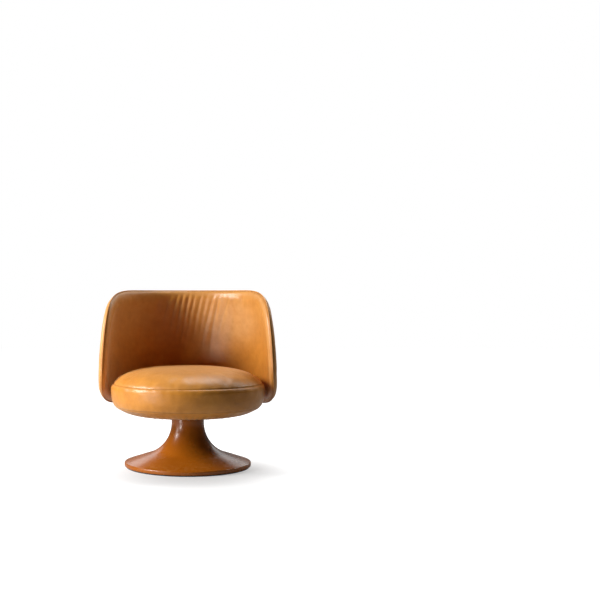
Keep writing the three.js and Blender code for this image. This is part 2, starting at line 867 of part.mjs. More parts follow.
function backCover(name, form, cutters) {
  const slab = backSlab(nose(form, 0), nose(form, leather));
  return mesh(name, cut(slab, cutters), tan_leather());
}

// Padding between a cover and the shell; past the shell's edge it reaches the seam surface.
function backFoam(name, form, cutters, material) {
  const past_shell = shell_inset - shell_edge_gap;
  const outer = nose(form, leather + fit);
  const inner = [
    [outer[0][0], (form.side * fit) / 2],
    [past_shell, (form.side * fit) / 2],
    [past_shell, form.side * (shell_thickness / 2 + fit)],
  ];
  return mesh(name, cut(backSlab(outer, inner), cutters), material);
}

function backShell() {
  const half = shell_thickness / 2;
  const slab = backSlab([[shell_inset, half]], [[shell_inset, -half]]);
  const hole = bolt_hole + 2 * nut_wall + fit;
  const holes = bracket_degrees.map((turn) => {
    const start = shellFace(turn) - overrun;
    const end = start + shell_thickness + 2 * overrun;
    return radialRod(hole, start, end, bolt_axis).rotateZ(radians(turn));
  });
  return mesh('back_shell', cut(slab, holes), plywood());
}

// The welt: a cord sewn in between the two covers all round the edge.
function backWelt() {
  const places = boundary(-welt_stand).map((point) => new THREE.Vector3(...backPoint(point, 0)));
  const outward = boundary(-welt_stand - welt_radius)
    .map((point, i) => new THREE.Vector3(...backPoint(point, 0)).sub(places[i]).normalize());
  const corners = [];
  const faces = [];
  places.forEach((place, i) => {
    const next = places[(i + 1) % places.length];
    const last = places.at(i - 1);
    const along = next.clone().sub(last).normalize();
    const across = along.clone().cross(outward[i]).normalize();
    const up = across.clone().cross(along).normalize();
    for (let k = 0; k < welt_sides; k += 1) {
      const angle = (2 * Math.PI * k) / welt_sides;
      const corner = place.clone()
        .addScaledVector(up, welt_radius * Math.cos(angle))
        .addScaledVector(across, welt_radius * Math.sin(angle));
      corners.push(...corner.toArray());
      const [a, b] = [i, (i + 1) % places.length].map((n) => n * welt_sides);
      const k_next = (k + 1) % welt_sides;
      faces.push(a + k, b + k, b + k_next, a + k, b + k_next, a + k_next);
    }
  });
  const geometry = new THREE.BufferGeometry();
  geometry.setAttribute('position', new THREE.Float32BufferAttribute(corners, 3));
  geometry.setIndex(faces);
  return mesh('back_welt', geometry, tan_leather());
}

// Assembly: what stands still, and what turns on it

const base = new THREE.Group();
base.add(
  floorPad(),
  ballastPlate(),
  pedestalShell(),
  columnTube(),
  ...footScrews(),
  centringRing(),
  bush('lower_bush', lower_bush_bottom, lower_bush_length),
  bush('upper_bush', column_top - upper_bush_length, upper_bush_length),
  race('lower_race', lower_race_bottom),
  ballRing(),
);

const seat = new THREE.Group();
seat.add(
  race('upper_race', upper_race_bottom),
  spindle(),
  spindleWasher(),
  retainingRing(),
  swivelPlate(),
  ...plateBolts(),
  ...teeNuts(),
  seatBoard(),
  dustCover(),
  seatFoam(),
  seatTopCover(),
  seatSideCover(),
  seatUnderCover(),
  ...backBrackets(),
  ...backSleeves(),
  ...backBolts(),
  ...backInserts(),
  backShell(),
  backFoam('back_inner_foam', inner_side, sleeveCutters(), cream_foam()),
  backFoam('back_outer_foam', outer_side, [], grey_foam()),
  backCover('back_inner_cover', inner_side, sleeveCutters()),
  backCover('back_outer_cover', outer_side, []),
  backWelt(),
);

const group = new THREE.Group();
group.add(base, seat);

export default group;
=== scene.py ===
"""Looks of the pedestal swivel armchair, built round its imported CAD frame.

Shapes are worked out in millimetres, as in the part's source, and become metres when a
mesh is made. Ways round the chair are measured from the rear, which is +Y.
"""

import math

import bpy
import numpy as np
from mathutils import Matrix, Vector, noise

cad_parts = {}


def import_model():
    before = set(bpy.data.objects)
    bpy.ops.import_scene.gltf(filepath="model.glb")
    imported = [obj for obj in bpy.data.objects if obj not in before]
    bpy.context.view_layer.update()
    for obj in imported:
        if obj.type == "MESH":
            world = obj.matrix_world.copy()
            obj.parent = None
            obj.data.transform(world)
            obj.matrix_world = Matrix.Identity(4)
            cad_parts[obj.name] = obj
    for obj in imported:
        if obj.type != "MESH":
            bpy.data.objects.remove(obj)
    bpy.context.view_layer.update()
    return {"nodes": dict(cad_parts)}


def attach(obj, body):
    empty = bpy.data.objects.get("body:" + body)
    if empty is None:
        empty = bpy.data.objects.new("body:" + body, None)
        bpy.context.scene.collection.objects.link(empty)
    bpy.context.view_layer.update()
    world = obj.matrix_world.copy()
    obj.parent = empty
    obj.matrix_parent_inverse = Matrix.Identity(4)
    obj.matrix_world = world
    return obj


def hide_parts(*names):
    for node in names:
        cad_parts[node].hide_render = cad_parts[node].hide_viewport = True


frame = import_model()

MM = 0.001

# The same sizes as in the part's source
FOOT_RADIUS, FOOT_EDGE_HEIGHT, FOOT_EDGE_ROUND = 252.0, 19.0, 5.0
FOOT_WALL, FOOT_LIP_WIDTH, FOOT_LIP_ROUND, FOOT_LIP_BOTTOM = 3.0, 26.0, 2.5, 4.3
FOOT_CONE = math.radians(18.3)
NECK_RADIUS, NECK_SWEEP, NECK_TOP = 65.0, 130.0, 202.9

BOARD_BOTTOM, BOARD_TOP, BOARD_RADIUS = 213.2, 231.2, 225.0
TUCK_RADIUS = 200.0
SEAT_RADIUS, TOP_SEAM_RADIUS, BOTTOM_SEAM_RADIUS = 306.5, 297.0, 291.0
SEAT_CROWN, SEAT_TOP_SEAM, SEAT_BULGE, SEAT_BOTTOM_SEAM = 398.2, 331.2, 301.2, 242.2
LEATHER, FIT = 2.0, 0.3
CROWN_SHARES = [(0, 1), (0.27, 0.98), (0.51, 0.91), (0.73, 0.745), (0.875, 0.505),
                (0.96, 0.24), (1, 0)]
SIDE_SHARES = [(0, 1), (0.62, 0.77), (1, 0.5), (1, 0.2), (0.8, -0.5), (0.4, -0.82), (0, -1)]
UNDER_SHARES = [(1, 0), (0.864, 0.23), (0.652, 0.47), (0.379, 0.74), (0, 1)]
LINING_INNER, LINING_OUTER = 118.0, 216.0

BACK_FORWARD, BACK_GIRTH = 12.0, 355.0
INNER_DEPTH, INNER_ROLL, OUTER_DEPTH, OUTER_ROLL = 20.0, 34.0, 12.0, 16.0
BACK_LEAN, LEAN_START, LEAN_RISE, LEAN_POWER = 38.5, 319.2, 381.0, 2.1
UNROLL_RADIUS = 325.0
BACK_BOTTOM, BACK_TIP, BACK_TOP, SWEEP_HIGH, RAKE_LOW = 240.2, 378.2, 700.2, 308.2, 600.2
SHELL_HALF, SHELL_INSET = 4.5, 11.1
WELT_RADIUS, WELT_STAND = 2.0, 1.3
SLEEVE_DEGREES, SLEEVE_HEIGHT, SLEEVE_RADIUS = (-40, 0, 40), 302.2, 12.0


# Small helpers


def smooth(low, high, x):
    """A smooth step from 0 at low to 1 at high."""
    t = np.clip((np.asarray(x, float) - low) / (high - low), 0, 1)
    return t * t * (3 - 2 * t)


def bell(x, width):
    """A soft bump, 1 at 0 and nearly gone at twice the width."""
    return np.exp(-((np.asarray(x, float) / width) ** 2))


def ripple(points, scale, seed=0.0):
    """Smooth noise from about -1 to 1 at each point, with features about 1 / scale apart."""
    shift = Vector((seed * 17.3, seed * 5.1, seed * 9.7))
    return np.array([noise.noise(Vector(p) * scale + shift) for p in points])


def along(points, stations, steps=40):
    """Points at these shares of the length of a smooth line through the given ones, which is
    a centripetal spline with this many steps from each to the next."""
    p = np.asarray(points, float)
    p = np.vstack([2 * p[0] - p[1], p, 2 * p[-1] - p[-2]])
    fine = []
    for a, b, c, d in zip(p[:-3], p[1:-2], p[2:-1], p[3:]):
        t0, t1 = 0, np.linalg.norm(b - a) ** 0.5
        t2 = t1 + np.linalg.norm(c - b) ** 0.5
        t3 = t2 + np.linalg.norm(d - c) ** 0.5
        t = np.linspace(t1, t2, steps, endpoint=False)[:, None]
        ab = (t1 - t) / (t1 - t0) * a + (t - t0) / (t1 - t0) * b
        bc = (t2 - t) / (t2 - t1) * b + (t - t1) / (t2 - t1) * c
        cd = (t3 - t) / (t3 - t2) * c + (t - t2) / (t3 - t2) * d
        abc = (t2 - t) / (t2 - t0) * ab + (t - t0) / (t2 - t0) * bc
        bcd = (t3 - t) / (t3 - t1) * bc + (t - t1) / (t3 - t1) * cd
        fine.append((t2 - t) / (t2 - t1) * abc + (t - t1) / (t2 - t1) * bcd)
    line = np.vstack(fine + [p[-2:-1]])
    far = np.concatenate([[0], np.cumsum(np.linalg.norm(np.diff(line, axis=0), axis=1))])
    want = np.asarray(stations) * far[-1]
    return np.stack([np.interp(want, far, line[:, k]) for k in range(p.shape[1])], 1)


def graded(length, start, end, coarse, growth=0.3):
    """Shares from 0 to 1 with fine steps at the ends and coarse ones between."""
    at = [0.0]
    while at[-1] < length:
        x = at[-1]
        at.append(x + min(coarse, start + growth * x, end + growth * max(0, length - x)))
    return np.array(at) / at[-1]


def mesh_object(name, points, faces, material, sharp=40):
    """A mesh from points in millimetres and a list of faces."""
    mesh = bpy.data.meshes.new(name)
    mesh.from_pydata((np.asarray(points) * MM).tolist(), [], [tuple(f) for f in faces])
    mesh.validate()
    mesh.polygons.foreach_set("use_smooth", [True] * len(mesh.polygons))
    mesh.set_sharp_from_angle(angle=math.radians(sharp))
    piece = bpy.data.objects.new(name, mesh)
    bpy.context.scene.collection.objects.link(piece)
    mesh.materials.append(material)
    return piece


def points_of(piece):
    flat = np.empty(len(piece.data.vertices) * 3)
    piece.data.vertices.foreach_get("co", flat)
    return flat.reshape(-1, 3) / MM


def set_points(piece, points):
    piece.data.vertices.foreach_set("co", (np.asarray(points) * MM).ravel())
    piece.data.update()


def normals_of(piece):
    flat = np.empty(len(piece.data.vertices) * 3)
    piece.data.vertex_normals.foreach_get("vector", flat)
    return flat.reshape(-1, 3)


def paint(piece, name, values):
    """A number at each point, which the material reads by its name."""
    layer = piece.data.attributes.new(name, "FLOAT", "POINT")
    layer.data.foreach_set("value", np.clip(values, 0, 1).astype(np.float32))


def subdivide(piece, sharp=60):
    """Gives the piece one subdivision, as its own mesh."""
    piece.modifiers.new("Subdivision", "SUBSURF").levels = 1
    shown = piece.evaluated_get(bpy.context.evaluated_depsgraph_get())
    fine = bpy.data.meshes.new_from_object(shown)
    piece.modifiers.clear()
    old, piece.data = piece.data, fine
    bpy.data.meshes.remove(old)
    fine.polygons.foreach_set("use_smooth", [True] * len(fine.polygons))
    fine.set_sharp_from_angle(angle=math.radians(sharp))


def inflate(piece, held, cap, pressure=4.0, grow=0.02, frames=20):
    """Cloth under pressure with some points held. The result goes into the mesh, and no
    point moves further than the cap."""
    start = points_of(piece)
    piece.vertex_groups.new(name="held").add(np.flatnonzero(held).tolist(), 1, "REPLACE")
    cloth = piece.modifiers.new("Cloth", "CLOTH")
    cloth.point_cache.frame_start, cloth.point_cache.frame_end = 1, frames
    settings = cloth.settings
    settings.quality, settings.mass, settings.air_damping = 6, 0.5, 2.0
    settings.tension_stiffness = settings.compression_stiffness = 25
    settings.shear_stiffness, settings.bending_stiffness = 12, 1.5
    settings.use_pressure, settings.uniform_pressure_force = True, pressure
    settings.vertex_group_mass = "held"
    settings.shrink_min = settings.shrink_max = -grow
    settings.effector_weights.gravity = 0
    scene = bpy.context.scene
    for number in range(1, frames + 1):
        scene.frame_set(number)
    shown = piece.evaluated_get(bpy.context.evaluated_depsgraph_get())
    moved = points_of(shown) - start
    piece.modifiers.clear()
    piece.vertex_groups.clear()
    scene.frame_set(1)
    far = np.linalg.norm(moved, axis=1, keepdims=True)
    moved *= cap * np.tanh(far / cap) / np.maximum(far, 1e-6)
    set_points(piece, start + moved)


def ring_faces(rings, segments, closed=True, flip=False):
    """Faces between rings of points. With closed, the last ring also joins the first."""
    faces = []
    for i in range(rings if closed else rings - 1):
        for k in range(segments):
            n, m = (i + 1) % rings, (k + 1) % segments
            a, b = i * segments + k, i * segments + m
            c, d = n * segments + m, n * segments + k
            faces.append((a, b, c, d) if flip else (a, d, c, b))
    return faces


def turned(name, profile, segments, material, sharp=40, capped=False):
    """A closed profile of [radius, height] turned round the Z axis. With capped, its two
    ends lie on the axis."""
    p = np.asarray(profile, float)
    rings = p[1:-1] if capped else p
    turn = np.linspace(0, 2 * math.pi, segments, endpoint=False)
    x, y = np.outer(rings[:, 0], np.cos(turn)), np.outer(rings[:, 0], np.sin(turn))
    z = np.repeat(rings[:, 1:2], segments, axis=1)
    points = np.stack([x, y, z], 2).reshape(-1, 3)
    faces = ring_faces(len(rings), segments, closed=not capped)
    if capped:
        points = np.vstack([points, [0, 0, p[0, 1]], [0, 0, p[-1, 1]]])
        top, bottom = len(points) - 2, len(points) - 1
        last = (len(rings) - 1) * segments
        for k in range(segments):
            n = (k + 1) % segments
            faces += [(top, k, n), (bottom, last + n, last + k)]
    return mesh_object(name, points, faces, material, sharp)


def rounded(corners, steps=6):
    """A profile of (radius, height, rounding) corners with arcs at the rounded ones."""
    points = []
    for i, (r, z, rounding) in enumerate(corners):
        here = np.array([r, z])
        if not rounding:
            points.append(here)
            continue
        before = np.array(corners[i - 1][:2]) - here
        after = np.array(corners[(i + 1) % len(corners)][:2]) - here
        before, after = before / np.linalg.norm(before), after / np.linalg.norm(after)
        half = math.acos(np.clip(before @ after, -1, 1)) / 2
        middle = (before + after) / np.linalg.norm(before + after)
        centre = here + middle * rounding / math.sin(half)
        a = here + before * rounding / math.tan(half) - centre
        b = here + after * rounding / math.tan(half) - centre
        turn = math.atan2(a[0] * b[1] - a[1] * b[0], a @ b)
        count = max(steps, int(abs(turn) * rounding / 5))
        for k in range(count + 1):
            c, s = math.cos(turn * k / count), math.sin(turn * k / count)
            points.append(centre + [a[0] * c - a[1] * s, a[0] * s + a[1] * c])
    return points


# Finishes


def rgb(red, green, blue):
    """A colour given as it is seen, from 0 to 255."""
    return tuple(((v / 255 + 0.055) / 1.055) ** 2.4 if v > 10 else v / 3295
                 for v in (red, green, blue)) + (1.0,)


def add_node(tree, kind, inputs=(), **settings):
    """A new node with these settings, whose inputs are set or linked."""
    node = tree.nodes.new(kind)
    for key, value in settings.items():
        setattr(node, key, value)
    for key, value in dict(inputs).items():
        if isinstance(value, bpy.types.NodeSocket):
            tree.links.new(value, node.inputs[key])
        else:
            node.inputs[key].default_value = value
    return node


def maths(tree, operation, a, b):
    return add_node(tree, "ShaderNodeMath", {0: a, 1: b}, operation=operation).outputs[0]


def spread(tree, value, low, high, to_low, to_high, interpolation="LINEAR"):
    """A value from low to high, mapped to the range from to_low to to_high."""
    inputs = {"Value": value, "From Min": low, "From Max": high,
              "To Min": to_low, "To Max": to_high}
    node = add_node(tree, "ShaderNodeMapRange", inputs, interpolation_type=interpolation)
    return node.outputs["Result"]


class Finish:
    """A material with short ways to add its nodes."""

    def __init__(self, name, **sockets):
        self.material = bpy.data.materials.new(name)
        self.material.use_nodes = True
        self.tree = self.material.node_tree
        self.shader = self.tree.nodes["Principled BSDF"]
        for key, value in sockets.items():
            self.shader.inputs[key.replace("_", " ")].default_value = value
        self.place = self.add("ShaderNodeTexCoord").outputs["Object"]
        self.bumped = None

    def add(self, kind, inputs=(), **settings):
        return add_node(self.tree, kind, inputs, **settings)

    def noise(self, scale, detail, roughness=0.5, distortion=0.0, place=None):
        """Cloudy noise with features about 1 / scale metres apart."""
        inputs = {"Vector": place or self.place, "Scale": scale, "Detail": detail,
                  "Roughness": roughness, "Distortion": distortion}
        return self.add("ShaderNodeTexNoise", inputs).outputs["Fac"]

    def cells(self, scale, feature, place=None):
        """Distances in a pattern of cells about 1 / scale metres across."""
        inputs = {"Vector": place or self.place, "Scale": scale}
        return self.add("ShaderNodeTexVoronoi", inputs, feature=feature).outputs["Distance"]

    def sum(self, *terms):
        """The sum of (socket, weight) terms."""
        total = None
        for socket, weight in terms:
            part = self.maths("MULTIPLY", socket, weight)
            total = part if total is None else self.maths("ADD", total, part)
        return total

    def maths(self, operation, a, b):
        return maths(self.tree, operation, a, b)

    def spread(self, value, low, high, to_low, to_high):
        return spread(self.tree, value, low, high, to_low, to_high)

    def ramp(self, value, stops):
        """A colour from stops of (value, (red, green, blue))."""
        node = self.add("ShaderNodeValToRGB", {"Fac": value})
        while len(node.color_ramp.elements) < len(stops):
            node.color_ramp.elements.new(0.5)
        for element, (at, colour) in zip(node.color_ramp.elements, stops):
            element.position, element.color = at, rgb(*colour)
        return node.outputs["Color"]

    def mix(self, factor, a, b):
        node = self.add("ShaderNodeMix", {0: factor, 6: a, 7: b}, data_type="RGBA")
        return node.outputs[2]

    def painted(self, name):
        """The numbers that paint() gave to the piece's points."""
        return self.add("ShaderNodeAttribute", attribute_name=name).outputs["Fac"]

    def bump(self, height, distance, strength):
        """Relief of this depth in metres, over the relief already there."""
        inputs = {"Height": height, "Distance": distance, "Strength": strength}
        if self.bumped:
            inputs["Normal"] = self.bumped
        self.bumped = self.add("ShaderNodeBump", inputs).outputs["Normal"]
        self.link(self.bumped, "Normal")

    def link(self, value, socket):
        self.tree.links.new(value, self.shader.inputs[socket])


def leather_finish(name, lift=0.0):
    """Aniline leather: cloudy tan with a soft sheen and a fine pebbled grain. Painted shade
    darkens it in the seams and creases, and it is rubbed paler on the crests and paler again
    where a piece paints a sheen on it. A lift makes all its tans paler."""
    f = Finish(name, Specular_IOR_Level=0.5, Sheen_Weight=0.3, Sheen_Roughness=0.5,
               Sheen_Tint=rgb(255, 218, 170))
    tans = [(0.34, (186, 116, 33)), (0.47, (203, 130, 41)), (0.56, (212, 139, 49)),
            (0.68, (222, 152, 62))]
    wear_and_sheen_tan, shade_brown = rgb(229, 174, 114), rgb(96, 48, 14)
    cloud = f.noise(4.5, 3, 0.55, 0.4)
    mottle = f.noise(38, 5, 0.62)
    speck = f.noise(520, 2, 0.6)
    tone = f.sum((cloud, 0.55), (mottle, 0.3), (speck, 0.15))
    colour = f.ramp(tone, [(at, [value + lift for value in tan]) for at, tan in tans])
    # Paler where a piece paints wear, and where it paints a sheen
    wear_and_sheen = f.maths("MULTIPLY", f.painted("wear_and_sheen"), f.spread(mottle, 0.35, 0.65, 0.4, 0.6))
    colour = f.mix(wear_and_sheen, colour, wear_and_sheen_tan)
    # Painted shade from the pieces darkens the seams, creases and folds
    painted_shade = f.maths("MULTIPLY", f.painted("shade"), 0.8)
    f.link(f.mix(painted_shade, colour, shade_brown), "Base Color")
    polish = f.sum((mottle, 0.6), (cloud, 0.4))
    f.link(f.spread(polish, 0.35, 0.65, 0.39, 0.31), "Roughness")
    bend = f.add("ShaderNodeTexNoise", {"Vector": f.place, "Scale": 160.0, "Detail": 1.0})
    shift = f.add("ShaderNodeVectorMath", {0: bend.outputs["Color"], "Scale": 0.0012},
                  operation="SCALE")
    wavy = f.add("ShaderNodeVectorMath", {0: f.place, 1: shift.outputs[0]}, operation="ADD")
    grain = f.cells(620, "DISTANCE_TO_EDGE", wavy.outputs[0])
    f.bump(f.spread(grain, 0.0, 0.22, 0.0, 1.0), 0.00022, 0.28)
    f.bump(f.noise(70, 4, 0.55), 0.0009, 0.25)
    return f.material


def lacquer_finish():
    """Satin lacquer on spun steel: faint orange peel, soft smudges, scuffs at the rim."""
    f = Finish("lacquer_satin", Specular_IOR_Level=0.5)
    cloud = f.noise(6, 3, 0.5)
    dust = f.noise(900, 2, 0.7)
    tone = f.sum((cloud, 0.75), (dust, 0.25))
    colour = f.ramp(tone, [(0.32, (159, 84, 11)), (0.5, (169, 91, 14)), (0.68, (177, 99, 20))])
    scuff = f.spread(f.noise(60, 5, 0.7), 0.5, 0.62, 0.0, 1.0)
    scuffed_rim = f.maths("MULTIPLY", f.painted("wear_and_sheen"), scuff)
    faint = f.maths("MULTIPLY", scuffed_rim, 0.25)
    f.link(f.mix(faint, colour, rgb(204, 142, 78)), "Base Color")
    f.link(f.spread(f.noise(14, 4, 0.6), 0.35, 0.65, 0.21, 0.29), "Roughness")
    f.bump(f.noise(340, 1, 0.4), 0.00006, 0.35)
    return f.material


def brushed_steel():
    """Bare steel with fine lines round it."""
    f = Finish("steel_brushed", Metallic=1.0)
    stretched = f.add("ShaderNodeMapping", {"Vector": f.place, "Scale": (1.0, 1.0, 14.0)})
    lines = f.noise(260, 4, 0.7, place=stretched.outputs[0])
    f.link(f.ramp(lines, [(0.3, (128, 130, 134)), (0.7, (176, 177, 180))]), "Base Color")
    f.link(f.spread(lines, 0.3, 0.7, 0.24, 0.42), "Roughness")
    f.bump(lines, 0.00005, 0.3)
    return f.material


def powder_black():
    """Black powder coat with its fine orange peel."""
    f = Finish("powder_coat_black", Specular_IOR_Level=0.45)
    grain = f.noise(1500, 2, 0.6)
    f.link(f.ramp(f.noise(22, 3), [(0.3, (26, 26, 28)), (0.7, (38, 38, 41))]), "Base Color")
    f.link(f.spread(grain, 0.3, 0.7, 0.48, 0.62), "Roughness")
    f.bump(grain, 0.00008, 0.5)
    return f.material


def nylon_finish():
    """Natural nylon, which is milky and slightly waxy."""
    f = Finish("nylon_natural", Subsurface_Weight=0.1)
    f.link(f.ramp(f.noise(30, 3), [(0.3, (219, 214, 200)), (0.7, (236, 232, 221))]), "Base Color")
    f.link(f.spread(f.noise(200, 2), 0.3, 0.7, 0.42, 0.55), "Roughness")
    f.bump(f.noise(600, 2), 0.00004, 0.4)
    return f.material


def felt_finish():
    """Black felt with matted fibres."""
    f = Finish("felt_black", Sheen_Weight=0.3, Sheen_Roughness=0.6)
    fibre = f.noise(900, 6, 0.75, 1.5)
    f.link(f.ramp(fibre, [(0.35, (17, 16, 15)), (0.7, (46, 44, 42))]), "Base Color")
    f.link(f.spread(fibre, 0.3, 0.7, 0.9, 1.0), "Roughness")
    f.bump(fibre, 0.0006, 0.8)
    return f.material


def lining_finish():
    """Spun-bonded lining cloth with its pattern of small welded dots."""
    f = Finish("lining_cloth", Sheen_Weight=0.1)
    dots = f.spread(f.cells(420, "F1"), 0.15, 0.35, 0.0, 1.0)
    fibre = f.noise(700, 5, 0.7, 0.8)
    tone = f.sum((dots, 0.5), (fibre, 0.5))
    f.link(f.ramp(tone, [(0.3, (17, 17, 19)), (0.75, (44, 44, 47))]), "Base Color")
    f.link(f.spread(fibre, 0.3, 0.7, 0.8, 0.95), "Roughness")
    f.bump(dots, 0.0003, 0.5)
    f.bump(fibre, 0.0002, 0.5)
    return f.material


def plywood_finish():
    """Birch plywood: pale long grain on the faces and thin dark glue lines at the edges."""
    f = Finish("plywood_birch")
    layer_thickness, glue_line = 0.0015, 0.0004
    long = f.add("ShaderNodeMapping", {"Vector": f.place, "Scale": (1.0, 14.0, 14.0)})
    figure = f.noise(9, 5, 0.65, 0.6, place=long.outputs[0])
    fine = f.noise(90, 4, 0.7, place=long.outputs[0])
    face = f.ramp(f.sum((figure, 0.6), (fine, 0.4)), [
        (0.3, (178, 141, 94)), (0.5, (203, 169, 122)), (0.7, (220, 190, 146))])
    height = f.add("ShaderNodeSeparateXYZ", {"Vector": f.place}).outputs["Z"]
    layer = f.maths("PINGPONG", height, layer_thickness)
    glue = f.spread(layer, 0.0, glue_line, 0.35, 0.0)
    f.link(f.mix(glue, face, rgb(96, 64, 36)), "Base Color")
    f.link(f.spread(figure, 0.3, 0.7, 0.55, 0.72), "Roughness")
    f.bump(fine, 0.0002, 0.4)
    return f.material


tan_leather = leather_finish("leather_tan")
welt_leather = leather_finish("leather_welt", lift=6)
lacquer = lacquer_finish()
steel, black, nylon = brushed_steel(), powder_black(), nylon_finish()
felt, lining, plywood = felt_finish(), lining_finish(), plywood_finish()


# Seat cushion: one closed form with a crowned top panel, a bulging side band and an under
# panel gathered to the board

SEAT_SEGMENTS, TUCK_FOLD = 168, 12
SEAM_STEP, SIDE_STEP, CROWN_STEP = 2.2, 7, 10
SEAM_DEPTH, SEAM_WIDTH = 1.5, 2.0
PLEATS, PLEAT_DEPTH, DIMPLE_WIDTH = 74, 0.7, 9


def seat_line():
    """Three lines of (radius, height) from the crown to the board, which meet at the seams."""
    crown = [(TOP_SEAM_RADIUS * r, SEAT_TOP_SEAM + (SEAT_CROWN - SEAT_TOP_SEAM) * z)
             for r, z in CROWN_SHARES]
    side = []
    for r, z in SIDE_SHARES:
        seam = TOP_SEAM_RADIUS if z > 0 else BOTTOM_SEAM_RADIUS
        reach = SEAT_TOP_SEAM - SEAT_BULGE if z > 0 else SEAT_BULGE - SEAT_BOTTOM_SEAM
        side.append((seam + (SEAT_RADIUS - seam) * r, SEAT_BULGE + reach * z))
    fall = SEAT_BOTTOM_SEAM - BOARD_BOTTOM + LEATHER + FIT
    under = [(BOARD_RADIUS + (BOTTOM_SEAM_RADIUS - BOARD_RADIUS) * r,
              SEAT_BOTTOM_SEAM - fall * z) for r, z in UNDER_SHARES]
    top = along(crown, graded(325, 9, SEAM_STEP, CROWN_STEP))
    band = along(side, graded(96, SEAM_STEP, SEAM_STEP, SIDE_STEP))
    bottom = along(under, graded(75, SEAM_STEP, 5, SIDE_STEP))
    return top, band[1:], bottom[1:]


def seat_cushion():
    crown, side, under = seat_line()
    outside = np.vstack([crown, side, under])
    inner, tuck_bottom = BOARD_RADIUS + FIT, BOARD_BOTTOM - LEATHER - FIT
    hidden = [(TUCK_RADIUS + TUCK_FOLD, tuck_bottom), (TUCK_RADIUS, tuck_bottom)]
    hidden += [(r, BOARD_BOTTOM - FIT) for r in (TUCK_RADIUS, TUCK_RADIUS + TUCK_FOLD, inner)]
    hidden += [(inner - step, BOARD_TOP + FIT) for step in (0, 60, 140, inner)]
    profile = np.vstack([outside, hidden])
    piece = turned("seat_cushion", profile, SEAT_SEGMENTS, tan_leather, capped=True)
    seams = (len(crown) - 1, len(crown) + len(side) - 1)
    puff_seat(piece, seams, len(outside))
    subdivide(piece)
    finish_seat(piece, outside, [outside[i] for i in seams])
    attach(piece, "seat")
    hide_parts("seat_foam", "seat_top_cover", "seat_side_cover", "seat_under_cover")


def puff_seat(piece, seams, outside_count):
    """Blows the panels up between the held seams, then keeps the ring's own mean place,
    so that only the cloth's unevenness is added to the measured shape."""
    sink, bumps, most_kept = 3.0, 0.5, 0.9
    target = points_of(piece)
    ring = np.full(len(target), -1)
    rings = (len(target) - 2) // SEAT_SEGMENTS
    ring[: rings * SEAT_SEGMENTS] = np.repeat(np.arange(1, rings + 1), SEAT_SEGMENTS)
    ring[-2], ring[-1] = 0, rings + 1
    held = (ring >= outside_count - 1) | np.isin(ring, seams)
    normal = normals_of(piece)
    near = np.min([np.abs(ring - s) for s in seams], axis=0)
    free = np.clip(near / 6, 0, 1)
    back = sink * free * (ring < outside_count - 1)
    uneven = bumps * ripple(target, 0.02, 3) * free * ~held
    set_points(piece, target - normal * (back - uneven)[:, None])
    inflate(piece, held, cap=7, grow=0.012)
    rise = np.sum((points_of(piece) - target) * normal, axis=1)
    count = np.bincount(ring, minlength=rings + 2)
    mean = np.bincount(ring, rise, minlength=rings + 2) / np.maximum(count, 1)
    kept = np.clip((rise - mean[ring]) * 0.5, -most_kept, most_kept) * ~held
    kept[ring == 0] = 0
    set_points(piece, target + normal * kept[:, None])


def sleeve_pull(degrees, radius, height):
    """How far the leather round the back's sleeves is drawn in at each point, from 0 to 1."""
    pull = np.zeros(len(height))
    for sleeve in SLEEVE_DEGREES:
        away = np.hypot((degrees - sleeve) * math.radians(1) * radius, height - SLEEVE_HEIGHT)
        pull = np.maximum(pull, bell(np.maximum(away - SLEEVE_RADIUS, 0), DIMPLE_WIDTH))
    return pull


